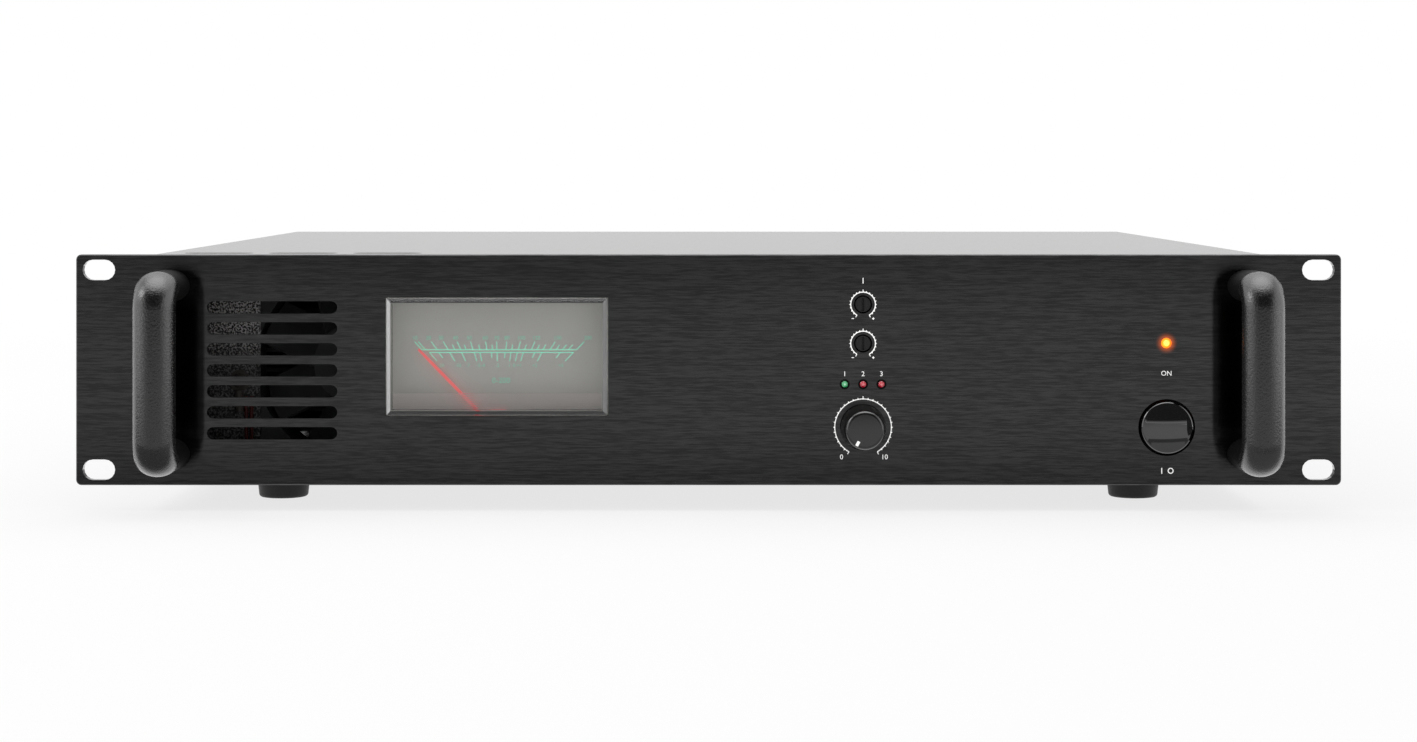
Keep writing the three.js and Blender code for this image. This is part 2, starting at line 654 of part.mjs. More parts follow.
function ledBody(back) {
  const bulb = led.bulb / 2;
  const front = panel.thick + gap;
  const dome = Math.SQRT1_2;
  return turned([
    [0, -led.proud], [bulb * dome, -led.proud + bulb * (1 - dome)], [bulb, -led.proud + bulb],
    [bulb, front], [led.flange / 2, front], [led.flange / 2, front + back], [0, front + back],
  ], sidesOf.small);
}

function indicator(label, x, look) {
  const legs = [-1, 1].map((side) => box(
    [side * led.bulb / 4 - led.lead / 2, panel.thick, -led.lead / 2],
    [side * led.bulb / 4 + led.lead / 2, control.boardFront - gap, led.lead / 2]));
  return piece(`led_${label}`, join(ledBody(led.flangeThick), ...legs), look, [x, 0, led.z]);
}

function controlAssembly() {
  return group([control.x, 0, 0],
    controlBoard(),
    trimmer('treble', trim.treble),
    trimmer('bass', trim.bass),
    indicator('signal', -led.pitch, finish.green),
    indicator('peak', 0, finish.red),
    indicator('protect', led.pitch, finish.red),
    group([0, 0, volume.z], volumePot(), volumeNut(), volumeShaft(), volumeKnob()));
}

function powerLight() {
  const front = panel.thick + gap;
  const holder = rod(ledHolder.across, front, front + ledHolder.deep, sidesOf.small);
  const place = [powerLed.x, 0, powerLed.z];
  return piece('led_power', join(ledBody(led.flangeThick), holder), finish.amber, place);
}

// Power button and switch

function powerButton() {
  const radius = button.across / 2;
  const inner = radius - button.rim;
  const stem = plunger.across / 2;
  const profile = [];
  for (let step = 0; step < 4; step += 1) {
    profile.push([inner * step / 4, button.crown * ((step / 4) ** 2 - 1) - button.proud]);
  }
  for (let step = 0; step <= 2; step += 1) {
    const angle = step / 2 * Math.PI / 2;
    profile.push([inner + button.rim * Math.sin(angle), button.rim * (1 - Math.cos(angle)) - button.proud]);
  }
  profile.push([radius, button.skirt], [stem, button.skirt], [stem, plunger.reach], [0, plunger.reach]);
  return piece('power_button', turned(profile, sidesOf.large), finish.gloss);
}

function powerSwitch() {
  const half = latch.side / 2;
  const back = innerPlate.front - gap;
  const shell = box([-half, latch.front, -half], [half, back, half]);
  const bore = rod(plunger.bore, latch.front - overrun, plunger.boreDeep, sidesOf.small);
  const tags = [];
  for (const side of [-1, 1]) {
    for (const level of [-1, 1]) {
      const x = side * latch.tagPitch / 2;
      const z = level * latch.tagPitch / 2;
      tags.push(box(
        [x - latch.tagWidth / 2, back - overrun, z - latch.tagThick / 2],
        [x + latch.tagWidth / 2, back + latch.tagReach, z + latch.tagThick / 2]));
    }
  }
  return piece('power_switch', join(cut(shell, bore), ...tags), finish.plastic);
}

// Fan

function fanFrame() {
  const outline = roundedRectangle(fan.side, fan.side, fan.screwHole);
  const openings = [circle(fan.duct, 0, 0, sidesOf.large)];
  for (const side of [-1, 1]) {
    for (const level of [-1, 1]) {
      const x = side * fan.screwPitch / 2;
      openings.push(circle(fan.screwHole, x, level * fan.screwPitch / 2, sidesOf.pin));
    }
  }
  const ring = uprightPierced(outline, openings, 0, fan.depth);
  const plateFront = fan.depth - fanMotor.plate;
  const bore = rod(fanMotor.axleBore, plateFront - overrun, plateFront + fanMotor.axleBite, sidesOf.pin);
  const motorPlate = cut(rod(fanMotor.hub, plateFront, fan.depth, sidesOf.medium), bore);
  const armReach = fan.duct / 2 + overrun;
  const arm = box(
    [fanMotor.axleBore, plateFront, -fanMotor.arm / 2], [armReach, fan.depth, fanMotor.arm / 2]);
  const arms = [0, 1, 2].map((index) => arm.clone().rotateY(Math.PI * 2 / 3 * index));
  return piece('fan_frame', join(ring, motorPlate, ...arms), finish.plastic);
}

function fanRotor() {
  const plateFront = fan.depth - fanMotor.plate;
  const hubBack = plateFront - gap;
  const axle = fanMotor.axle / 2;
  const hubRadius = fanMotor.hub / 2;
  const axleBack = plateFront + fanMotor.axleBite - gap;
  const hub = turned([
    [0, fanMotor.hubFront], [hubRadius, fanMotor.hubFront], [hubRadius, hubBack],
    [axle, hubBack], [axle, axleBack], [0, axleBack],
  ], sidesOf.medium);
  const swept = fan.duct / 2 - fanMotor.tipGap;
  const limit = rod(2 * swept, fanMotor.hubFront, hubBack, sidesOf.large);
  const middle = (fanMotor.hubFront + hubBack) / 2;
  const blades = [];
  for (let index = 0; index < fanBlade.count; index += 1) {
    const blade = box(
      [hubRadius / 2, -fanBlade.thick / 2, -fanBlade.chord / 2],
      [swept + overrun, fanBlade.thick / 2, fanBlade.chord / 2]);
    blade.rotateX(THREE.MathUtils.degToRad(fanBlade.pitchDegrees)).translate(0, middle, 0);
    blades.push(keepInside(blade.rotateY(Math.PI * 2 * index / fanBlade.count), limit));
  }
  return piece('fan_rotor', join(hub, ...blades), finish.plastic);
}

function fanAssembly() {
  return group([fan.x, innerBack + gap, fan.z], fanFrame(), fanRotor());
}

// Power stage

function heatsink() {
  const baseLeft = sink.right - sink.base;
  const points = [[sink.right, sink.top], [sink.right, wallLow], [baseLeft, wallLow]];
  for (let index = 0; index < sinkFin.count; index += 1) {
    const low = sink.top - sinkFin.thick - (sinkFin.count - 1 - index) * sinkFin.pitch;
    points.push([baseLeft, low], [sink.left, low], [sink.left, low + sinkFin.thick]);
    if (index < sinkFin.count - 1) {
      points.push([baseLeft, low + sinkFin.thick]);
    }
  }
  const comb = upright(polygon(points.reverse()), sink.front, sink.front + sink.length);
  return piece('heatsink', comb, finish.aluminium);
}

function powerTransistor(index) {
  const left = sink.right + gap;
  const y = transistor.firstY + index * transistor.pitch;
  const middle = left + transistor.thick / 2;
  const shell = box(
    [left, y - transistor.width / 2, transistor.low],
    [left + transistor.thick, y + transistor.width / 2, transistor.low + transistor.high]);
  const leads = [];
  for (let lead = 0; lead < transistorLead.count; lead += 1) {
    const leadY = y + (lead - (transistorLead.count - 1) / 2) * transistorLead.pitch;
    leads.push(box(
      [middle - transistorLead.thick / 2, leadY - transistorLead.width / 2, boardTop + gap],
      [middle + transistorLead.thick / 2, leadY + transistorLead.width / 2, transistor.low + overrun]));
  }
  return piece(`power_transistor_${index + 1}`, join(shell, ...leads), finish.epoxy);
}

function amplifierBoard() {
  const back = board.front + board.length;
  const sheet = box([boardLeft, board.front, boardLow], [board.right, back, boardTop]);
  return piece('amplifier_board', sheet, finish.circuit);
}

function reservoirCapacitor(index) {
  const low = boardTop + gap;
  const radius = reservoir.across / 2;
  const deep = reservoirGroove.deep;
  const neck = radius - deep;
  const grooveLow = low + reservoirGroove.low;
  const can = standing([
    [0, low], [radius, low], [radius, grooveLow], [neck, grooveLow + deep],
    [radius, grooveLow + 2 * deep], [radius, low + reservoir.high - deep],
    [neck, low + reservoir.high], [0, low + reservoir.high],
  ], sidesOf.small);
  const y = reservoir.firstY + index * reservoir.pitch;
  return piece(`reservoir_capacitor_${index + 1}`, can, finish.sleeve, [reservoir.x, y, 0]);
}

function bridgeRectifier() {
  const half = rectifier.side / 2;
  const outline = polygon([
    [-half, -half], [half, -half], [half, half - rectifier.chamfer],
    [half - rectifier.chamfer, half], [-half, half],
  ]);
  const hole = circle(rectifier.hole, 0, 0, sidesOf.pin);
  const block = lyingPierced(outline, hole, wallLow, wallLow + rectifier.high);
  return piece('bridge_rectifier', block, finish.epoxy, [rectifier.x, rectifier.y, 0]);
}

function powerStage() {
  const transistors = Array.from({ length: transistor.count }, (unused, index) => powerTransistor(index));
  const cans = Array.from({ length: reservoir.count }, (unused, index) => reservoirCapacitor(index));
  return group([0, 0, 0], heatsink(), amplifierBoard(), bridgeRectifier(), ...transistors, ...cans);
}

// Transformers

function roundedRing(across, hole, low, high, round) {
  const profile = [];
  const middles = [
    [across / 2 - round, high - round, 0], [hole / 2 + round, high - round, 1],
    [hole / 2 + round, low + round, 2], [across / 2 - round, low + round, 3],
  ];
  for (const [radius, z, quarter] of middles) {
    for (let step = 0; step <= 2; step += 1) {
      const angle = (quarter + step / 2) * Math.PI / 2;
      profile.push([radius + round * Math.cos(angle), z + round * Math.sin(angle)]);
    }
  }
  profile.push(profile[0]);
  return standing(profile, sidesOf.medium);
}

function mainsTransformer() {
  const padLow = wallLow;
  const padDisc = circle(toroidPad.across, 0, 0, sidesOf.medium);
  const padHole = circle(toroidPad.hole, 0, 0, sidesOf.medium);
  const pad = lyingPierced(padDisc, padHole, padLow, padLow + toroidPad.thick);
  const low = padLow + toroidPad.thick + gap;
  const high = low + toroid.high;
  const ring = roundedRing(toroid.across, toroid.hole, low, high, toroid.round);
  const plateLow = high + gap;
  const wide = clampPlate.across / 2;
  const dished = clampPlate.dishAcross / 2;
  const bore = clampBolt.hole / 2;
  const dishLow = plateLow - clampPlate.dish;
  const dishFoot = dished - clampPlate.dish;
  const thick = clampPlate.thick;
  const plate = standing([
    [bore, dishLow], [dishFoot, dishLow], [dished, plateLow], [wide, plateLow], [wide, plateLow + thick],
    [dished, plateLow + thick], [dishFoot, dishLow + thick], [bore, dishLow + thick], [bore, dishLow],
  ], sidesOf.small);
  const headLow = dishLow + thick + gap;
  const shank = post(clampBolt.shank, floorTop - clampBolt.tail, headLow + overrun, sidesOf.small);
  const head = lying(circle(clampBolt.head, 0, 0, 6), headLow, headLow + clampBolt.headHigh);
  return group([toroid.x, toroid.y, 0],
    piece('transformer_pad', pad, finish.rubber),
    piece('mains_transformer', ring, finish.tape),
    piece('transformer_clamp_plate', plate, finish.zinc),
    piece('transformer_bolt', join(shank, head), finish.zinc));
}

function lineTransformer() {
  const half = core.width / 2;
  const low = wallLow;
  const high = low + core.high;
  const windowWide = half - core.leg - core.middleLeg / 2;
  const windowX = core.middleLeg / 2 + windowWide / 2;
  const windowHigh = core.high - 2 * core.yoke;
  const windowZ = (low + high) / 2;
  const outline = rectangle(core.width, core.high, 0, windowZ);
  const windows = [-1, 1].map((side) => rectangle(windowWide, windowHigh, side * windowX, windowZ));
  const stack = uprightPierced(outline, windows, -core.stack / 2, core.stack / 2);
  const coilHalf = half - core.leg - gap;
  const coilDepth = core.stack + 2 * coil.overhang;
  const ring = roundedRectangle(2 * coilHalf, coilDepth, core.leg / 4);
  const legHole = rectangle(core.middleLeg + 2 * gap, core.stack + 2 * gap);
  const winding = lyingPierced(ring, legHole, low + core.yoke + gap, high - core.yoke - gap);
  return group([core.x, core.y, 0],
    piece('line_transformer_core', stack, finish.iron),
    piece('line_transformer_coil', winding, finish.tape));
}

// Rear connections

function mainsInlet() {
  const flangeOuter = rearFace + inlet.flange;
  const flangeWidth = inletRecess.screwPitch + 2 * inlet.tab;
  const flange = upright(roundedRectangle(flangeWidth, inlet.high, inlet.high / 4), rearFace, flangeOuter);
  const innerEnd = flangeOuter - inlet.depth;
  const halfWide = inlet.bodyWidth / 2;
  const halfHigh = inlet.bodyHigh / 2;
  const shell = box([-halfWide, innerEnd, -halfHigh], [halfWide, flangeOuter, halfHigh]);
  const w = inletRecess.width / 2;
  const h = inletRecess.high / 2;
  const b = inletRecess.bevel;
  const floor = flangeOuter - inletRecess.deep;
  const mouth = polygon([[-w, -h], [w, -h], [w, h - b], [w - b, h], [b - w, h], [-w, h - b]]);
  const recess = upright(mouth, floor, flangeOuter + overrun);
  const holes = upright([-1, 1].map((side) => (
    circle(inletRecess.screwHole, side * inletRecess.screwPitch / 2, 0, sidesOf.pin))),
  rearFace - overrun, flangeOuter + overrun);
  const pins = [-1, 0, 1].map((column) => {
    const z = column === 0 ? inletPin.lineRise : -inletPin.earthDrop;
    const x = column * inletPin.pitch;
    return box(
      [x - inletPin.width / 2, floor - overrun, z - inletPin.high / 2],
      [x + inletPin.width / 2, floor + inletPin.reach, z + inletPin.high / 2]);
  });
  const solid = join(cut(join(flange, shell), recess, holes), ...pins);
  return piece('mains_inlet', solid, finish.plastic, [inlet.x, 0, rear.z]);
}

function fuseHolder() {
  const barrel = fuse.barrel / 2;
  const flange = fuse.flange / 2;
  const cap = fuse.cap / 2;
  const flangeOuter = rearFace + fuse.flangeThick;
  const end = rearFace + fuse.reach;
  const shell = turned([
    [0, end - fuse.depth], [barrel, end - fuse.depth], [barrel, rearFace], [flange, rearFace],
    [flange, flangeOuter], [cap, flangeOuter], [cap, end], [0, end],
  ], sidesOf.medium);
  const groove = box(
    [-fuse.cap, end - fuseSlot.deep, -fuseSlot.width / 2],
    [fuse.cap, end + overrun, fuseSlot.width / 2]);
  return piece('fuse_holder', cut(shell, groove), finish.plastic, [fuse.x, 0, rear.z]);
}

function terminalBlock() {
  const pitch = strip.cell + strip.wall;
  const half = (strip.cells * pitch + strip.wall) / 2;
  const baseOuter = rearFace + strip.base;
  const parts = [box([-half, rearFace, -strip.high / 2], [half, baseOuter, strip.high / 2])];
  for (let index = 0; index <= strip.cells; index += 1) {
    const left = -half + index * pitch;
    parts.push(box(
      [left, rearFace, -strip.high / 2], [left + strip.wall, baseOuter + strip.barrier, strip.high / 2]));
  }
  for (let index = 0; index < strip.cells; index += 1) {
    const middle = -half + strip.wall + strip.cell / 2 + index * pitch;
    parts.push(box(
      [middle - strip.tagWidth / 2, rearFace - strip.tagDeep, -stripTag.thick / 2],
      [middle + strip.tagWidth / 2, rearFace + overrun, stripTag.thick / 2]));
  }
  return piece('output_terminal_block', join(...parts), finish.plastic, [strip.x, 0, rear.z]);
}

function lineSocket(index) {
  const shell = socket.shell / 2;
  const flange = socket.flange / 2;
  const barrel = socketInside.barrel / 2;
  const bore = socketInside.bore / 2;
  const flangeOuter = rearFace + socket.flangeThick;
  const end = rearFace + socket.reach;
  const solid = turned([
    [0, rearFace - socketInside.depth], [barrel, rearFace - socketInside.depth], [barrel, rearFace],
    [flange, rearFace], [flange, flangeOuter], [shell, flangeOuter], [shell, end], [bore, end],
    [bore, end - socketInside.boreDeep], [0, end - socketInside.boreDeep],
  ], sidesOf.small);
  const place = [socket.firstX - index * socket.pitch, 0, rear.z];
  return piece(`line_socket_${index + 1}`, solid, finish.brass, place);
}

function grounding() {
  const stud = groundPost.stud / 2;
  const washer = groundNut.washer / 2;
  const washerOuter = rearFace + groundNut.washerThick;
  const nutRadius = groundNut.across / 2;
  const nutOuter = washerOuter + groundNut.high;
  const end = rearFace + groundPost.reach;
  const solid = turned([
    [0, rearFace - groundPost.depth], [stud, rearFace - groundPost.depth], [stud, rearFace],
    [washer, rearFace], [washer, washerOuter], [nutRadius, washerOuter],
    [nutRadius, nutOuter], [stud, nutOuter], [stud, end], [0, end],
  ], sidesOf.small);
  return piece('ground_post', solid, finish.brass, [groundPost.x, 0, rear.z]);
}

function rearConnections() {
  const sockets = Array.from({ length: socket.count }, (unused, index) => lineSocket(index));
  return group([0, 0, 0], mainsInlet(), fuseHolder(), terminalBlock(), grounding(), ...sockets);
}

// The whole amplifier

const amplifier = group([0, 0, 0],
  frontPanel(),
  handleSet('left', -1),
  handleSet('right', 1),
  basePlate(),
  sidePanel('side_panel_left', -1),
  sidePanel('side_panel_right', 1),
  innerFrontPlate(),
  rearPanel(),
  topCover(),
  footAt('foot_front_left', -foot.x, foot.front),
  footAt('foot_front_right', foot.x, foot.front),
  footAt('foot_rear_left', -foot.x, foot.rear),
  footAt('foot_rear_right', foot.x, foot.rear),
  meterAssembly(),
  controlAssembly(),
  powerLight(),
  group([button.x, 0, button.z], powerButton(), powerSwitch()),
  fanAssembly(),
  powerStage(),
  mainsTransformer(),
  lineTransformer(),
  rearConnections());

const frontMost = -handle.reach;
const backMost = rearFace + groundPost.reach;
amplifier.position.set(0, -(frontMost + backMost) / 2, foot.drop);

export default amplifier;
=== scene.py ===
# %% [markdown]
# # A two-unit rack power amplifier
# The amplifier's construction comes ready made: every panel, knob, foot and transformer is already a
# solid in its real place. This lesson dresses it. It gives each surface its finish, rounds what the
# solids leave faceted, prints the scales and adds the small things that a hand would notice.
# Everything is in metres, X runs along the front panel, Y runs back from it and Z runs up.

import json
import math

import bmesh
import bpy
from mathutils import Matrix, Vector


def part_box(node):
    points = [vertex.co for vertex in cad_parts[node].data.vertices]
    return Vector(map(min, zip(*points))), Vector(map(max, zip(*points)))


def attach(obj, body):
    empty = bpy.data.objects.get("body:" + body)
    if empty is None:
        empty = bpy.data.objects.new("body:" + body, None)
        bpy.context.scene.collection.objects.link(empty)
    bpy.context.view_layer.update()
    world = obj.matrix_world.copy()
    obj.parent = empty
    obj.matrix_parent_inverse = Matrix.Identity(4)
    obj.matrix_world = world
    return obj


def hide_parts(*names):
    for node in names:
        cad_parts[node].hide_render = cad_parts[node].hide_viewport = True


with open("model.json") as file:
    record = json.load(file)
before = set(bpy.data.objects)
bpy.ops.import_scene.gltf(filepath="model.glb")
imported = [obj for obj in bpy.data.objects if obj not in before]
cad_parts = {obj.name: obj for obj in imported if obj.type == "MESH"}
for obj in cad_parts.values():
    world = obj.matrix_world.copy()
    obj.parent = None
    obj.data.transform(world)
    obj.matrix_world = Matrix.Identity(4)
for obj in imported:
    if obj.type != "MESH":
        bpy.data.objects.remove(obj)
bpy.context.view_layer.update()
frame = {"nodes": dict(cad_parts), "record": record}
mm = 0.001

# %% [markdown]
# ## Where things are
# Nothing here is placed by eye. The panel's front face and its lower edge are the two lines that every
# drawing of a front panel starts from, and the rest is read from the solids' own boxes.

# %% Panel datum
panel_low, panel_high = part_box("front_panel")
panel_face = panel_low.y
panel_back = panel_high.y
panel_foot = panel_low.z


def middle(node):
    low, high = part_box(node)
    return (low + high) / 2


def across(node):
    low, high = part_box(node)
    return high - low


print("panel face at", round(panel_face, 5), "lower edge at", round(panel_foot, 5))

# %% [markdown]
# ## Camera
# The picture was taken level and square to the panel, from a little above it, and the frame was then
# slid over the subject as with a shift lens: the panel's edges stay parallel while the cover's top still
# shows. A tilted camera could frame the same subject, but its verticals would lean. So the camera here
# looks straight along Y, and its shift does the framing.

# %% Camera
photo_width = 1417
photo_height = 742
pixels_per_metre = 2622
distance = 1.061
vanishing_pixel = (702.6, 166.9)
camera_x = -2.3 * mm
camera_height = 131.4 * mm
right_angle = math.radians(90)

camera_data = bpy.data.cameras.new("camera")
camera_data.sensor_width = 36
camera_data.lens = camera_data.sensor_width * pixels_per_metre * distance / photo_width
camera_data.shift_x = (photo_width / 2 - vanishing_pixel[0]) / photo_width
camera_data.shift_y = (vanishing_pixel[1] - photo_height / 2) / photo_width
camera = bpy.data.objects.new("camera", camera_data)
camera.location = (camera_x, panel_face - distance, camera_height)
camera.rotation_euler = (right_angle, 0, 0)
scene = bpy.context.scene
scene.collection.objects.link(camera)
scene.camera = camera
scene.view_settings.view_transform = "Standard"
print("lens", round(camera_data.lens, 2),
      "shift", round(camera_data.shift_x, 4), round(camera_data.shift_y, 4))

# %% [markdown]
# ## Shader arithmetic
# A node tree is arithmetic drawn as boxes. Wrapping a socket in a small class lets Python's own signs
# build those boxes, so a pattern can be read as a formula. Colours go through Mix nodes instead, since
# a Math node would turn them grey. Any other node comes from the one `node` method.

# %% Sockets that can be added and multiplied
class Value:
    """A node's output that arithmetic signs can work on."""

    def __init__(self, shader, socket):
        self.shader = shader
        self.socket = socket

    def math(self, operation, *values):
        return self.shader.node("Math", dict(enumerate(values)), operation=operation)

    def __add__(self, other):
        return self.math("ADD", self, other)

    def __sub__(self, other):
        return self.math("SUBTRACT", self, other)

    def __mul__(self, other):
        return self.math("MULTIPLY", self, other)

    def __rsub__(self, other):
        return self.math("SUBTRACT", other, self)

    __radd__ = __add__
    __rmul__ = __mul__


class Shader:
    """The node tree of one material, or of the world."""

    def __init__(self, owner, output="OutputMaterial"):
        owner.use_nodes = True
        self.owner = owner
        self.tree = owner.node_tree
        self.tree.nodes.clear()
        self.output = self.tree.nodes.new("ShaderNode" + output)

    def connect(self, socket, value):
        if isinstance(value, Value):
            self.tree.links.new(value.socket, socket)
        elif socket.type == "RGBA" and len(value) == 3:
            socket.default_value = (*value, 1)
        else:
            socket.default_value = value

    def node(self, kind, inputs=None, output=0, **settings):
        made = self.tree.nodes.new("ShaderNode" + kind)
        for name, value in settings.items():
            setattr(made, name, value)
        for name, value in (inputs or {}).items():
            self.connect(made.inputs[name], value)
        return Value(self, made.outputs[output])

    def place(self, scale=(1, 1, 1)):
        """Object coordinates in metres, stretched for a pattern."""
        return self.node("Mapping", {"Vector": self.node("TexCoord", output="Object"), "Scale": scale})

    def axis(self, name):
        """How far along X, Y or Z a point is, in metres."""
        return self.node("SeparateXYZ", {"Vector": self.node("TexCoord", output="Object")}, name)

    def noise(self, scale, detail=2, stretch=(1, 1, 1)):
        return self.node("TexNoise", {"Vector": self.place(stretch), "Scale": scale, "Detail": detail})

    def ramp(self, value, low, high, start=0, end=1):
        """start below low, end above high, and a smooth change between them."""
        inputs = {"Value": value, "From Min": low, "From Max": high, "To Min": start, "To Max": end}
        return self.node("MapRange", inputs, interpolation_type="SMOOTHSTEP")

    def mix(self, share, first, second):
        return self.node("Mix", {0: share, 6: first, 7: second}, 2, data_type="RGBA")

    def bump(self, height, strength, depth):
        return self.node("Bump", {"Height": height, "Strength": strength, "Distance": depth})

    def grey(self, level):
        return self.node("CombineColor", {"Red": level, "Green": level, "Blue": level})

    def ray_is(self, *kinds):
        """1 for a ray of these kinds and 0 for any other."""
        told = [self.node("LightPath", output=f"Is {kind} Ray") for kind in kinds]
        while len(told) > 1:
            told[:2] = [told[0].math("MAXIMUM", *told[:2])]
        return told[0]

    def off_axis(self, node):
        """How far a point is from the line that runs back through the middle of a solid."""
        aside = self.axis("X") - middle(node).x
        up = self.axis("Z") - middle(node).z
        square = aside * aside + up * up
        return square.math("SQRT", square)

    def finish(self, surface):
        self.tree.links.new(surface.socket, self.output.inputs["Surface"])
        return self.owner


def srgb(*channels):
    """Linear values of a colour given as it is read off a screen, 0 to 255."""
    shares = [c / 255 for c in channels]
    return tuple(s / 12.92 if s <= 0.04045 else ((s + 0.055) / 1.055) ** 2.4 for s in shares)


def material(name, build):
    """A material whose Principled inputs are what build(shader) returns."""
    shader = Shader(bpy.data.materials.new(name))
    return shader.finish(shader.node("BsdfPrincipled", build(shader)))


def glow(colour, strength):
    return {"Emission Color": colour, "Emission Strength": strength}


print("shader helpers ready")

# %% [markdown]
# ## Studio
# A product studio is a white room with one dark side: the one the photographer stands on. Black glossy
# things show it, as the dark cap on the button and the dark patch on each handle's upper bend. They also
# show the lamps at both sides, as the bright edges of the handles. A plain white world would light
# everything well and leave those surfaces dead. So the world is white to the camera and through glass,
# has its dark and its brighter sides in reflections only, and lights matt surfaces evenly.

# %% World
room_level, dark_level, side_level, over_level = 0.7, 0.07, 1.6, 3.2
dark_rise, clear_rise, over_rise = (0.0, 0.05), (0.84, 1.0), (0.75, 1.0)
dark_front, clear_aside, lamps_aside = (0.0, 0.25), (0.45, 0.8), (0.55, 0.85)


def squared(shares):
    return [share ** 2 for share in shares]


world = bpy.data.worlds.new("studio")
scene.world = world
studio = Shader(world, "OutputWorld")
direction = studio.node("TexCoord", output="Generated")
aside, depth, rise = (studio.node("SeparateXYZ", {"Vector": direction}, axis) for axis in "XYZ")
above = studio.ramp(rise, *dark_rise)
below_softbox = studio.ramp(rise, *clear_rise, 1, 0)
before = studio.ramp(depth * -1, *dark_front) * studio.ramp(aside * aside, *squared(clear_aside), 1, 0)
lamps = studio.ramp(aside * aside, *squared(lamps_aside), 0, side_level - 1)
overhead = studio.ramp(rise, *over_rise, 0, over_level - 1)
mirrored = 1 + lamps + overhead - (1 - dark_level) * above * below_softbox * before
glossy = studio.ray_is("Glossy")
seen = studio.ray_is("Camera", "Transmission")
matt = (1 - glossy) * (1 - seen)
level = seen * (1 - glossy) + glossy * mirrored + matt * room_level
studio.finish(studio.node("Background", {"Color": (1, 1, 1), "Strength": level}))
print("world ready")

# %% [markdown]
# ## Floor
# The floor is a pale sheet that runs to the horizon. It is part paper and part light: the paper keeps
# the soft shadow below the amplifier, and the light, which only the camera, mirrors and glass see, keeps
# the sheet white. Further out the light takes over, so no edge shows against the white room. Mirrors see
# it in greys of their own, which are painted reflections: dim close by, more so at the left, but bright
# right below the panel and in a pool at either side. A dark strip painted into that light, where a
# table's front edge would be, shows as the line across the button.

# %% Floor
floor_half = 12
paper, paper_share_near, paper_reach = srgb(240, 240, 240), 0.24, (0.4, 1.2)
# Greys that only mirrors see of the floor's light: painted reflections.
open_greys, open_x = (0.54, 0.66), (-0.3, 0.3)
close_greys, close_x = (0.12, 0.42), (-0.22, -0.08)
under_grey, under_y = 1.7, (14 * mm, 28 * mm)
pool_grey, pool_x, pool_y = 3.0, (0.6, 0.95), (0.9, 1.6)
edge_grey, edge_near, edge_far, edge_soft = 0.02, 75 * mm, 97 * mm, 4 * mm


def between(first, second, share):
    return first + (second - first) * share


floor_mesh = bpy.data.meshes.new("floor")
bm = bmesh.new()
bmesh.ops.create_grid(bm, x_segments=1, y_segments=1, size=floor_half)
bm.to_mesh(floor_mesh)
bm.free()
floor = bpy.data.objects.new("floor", floor_mesh)
scene.collection.objects.link(floor)
sheet = Shader(bpy.data.materials.new("studio_paper"))
apart = sheet.node("VectorMath", {0: sheet.node("TexCoord", output="Object")}, "Value",
                   operation="LENGTH")
looked_at = sheet.ray_is("Camera", "Glossy", "Transmission")
glow_share = looked_at * sheet.ramp(apart, *paper_reach, 1 - paper_share_near, 1)
in_front = panel_face - sheet.axis("Y")
# A dark strip in the floor's light, seen only in mirrors: a painted reflection of a table's edge.
edge = sheet.ramp(in_front, edge_near - edge_soft, edge_near + edge_soft) * sheet.ramp(
    in_front, edge_far - edge_soft, edge_far + edge_soft, 1, 0)
sideways = sheet.axis("X")
pool = sheet.ramp(sideways * sideways, *squared(pool_x), 0, pool_grey - open_greys[1])
open_grey = sheet.ramp(sideways, *open_x, *open_greys) + pool * sheet.ramp(in_front, *pool_y, 1, 0)
close_grey = sheet.ramp(sideways, *close_x, *close_greys)
close_grey = between(under_grey, close_grey, sheet.ramp(in_front, *under_y))
grey = between(close_grey, open_grey, sheet.ramp(in_front, edge_near, edge_far))
grey = between(grey, edge_grey, edge)
light = sheet.mix(sheet.ray_is("Glossy"), (1, 1, 1), sheet.grey(grey))
floor_mesh.materials.append(sheet.finish(sheet.node("MixShader", {
    0: glow_share,
    1: sheet.node("BsdfDiffuse", {"Color": paper}),
    2: sheet.node("Emission", {"Color": light, "Strength": 1})})))
print("floor ready")

# %% [markdown]
# ## Lamps
# Two large soft lamps do what a studio's softboxes do: one overhead gives tops a little more light than
# sides, and one at the upper left gives round things a soft highlight. Both are weak beside the room.

# %% Lamps
def softbox(name, place, target, side, power):
    data = bpy.data.lights.new(name, "AREA")
    data.shape = "SQUARE"
    data.size = side
    data.energy = power
    lamp = bpy.data.objects.new(name, data)
    lamp.location = place
    lamp.rotation_euler = (Vector(target) - Vector(place)).to_track_quat("-Z", "Y").to_euler()
    scene.collection.objects.link(lamp)


softbox("softbox_top", (0, 0.15, 1.5), target=(0, 0, 0), side=2.4, power=14)
softbox("softbox_left", (-1.5, -0.5, 1.1), target=(0, -0.1, 0.05), side=0.6, power=5)
print("lamps ready")

# %% [markdown]
# ## Making pieces
# Every new piece starts as a few points in a bmesh, and operators do the rest. A round piece is a
# profile spun about an axis. Some of its sharp edges are then bevelled, because a real edge always
# catches a little light. The finished piece is told which moving body carries it, which finish it takes,
# and which plain solid it stands for.

# %% Piece helpers
hair = 0.001 * mm


def merge(bm):
    bmesh.ops.remove_doubles(bm, verts=bm.verts, dist=hair)
    bmesh.ops.recalc_face_normals(bm, faces=bm.faces)


def add_piece(name, bm, look, body="root", stands_for=(), smooth=30):
    """Turns a bmesh into a piece that rides on a body."""
    mesh = bpy.data.meshes.new(name)
    bm.to_mesh(mesh)
    bm.free()
    mesh.materials.append(look)
    for polygon in mesh.polygons:
        polygon.use_smooth = True
    mesh.set_sharp_from_angle(angle=math.radians(smooth))
    made = bpy.data.objects.new(name, mesh)
    scene.collection.objects.link(made)
    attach(made, body)
    if stands_for:
        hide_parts(*stands_for)
    return made


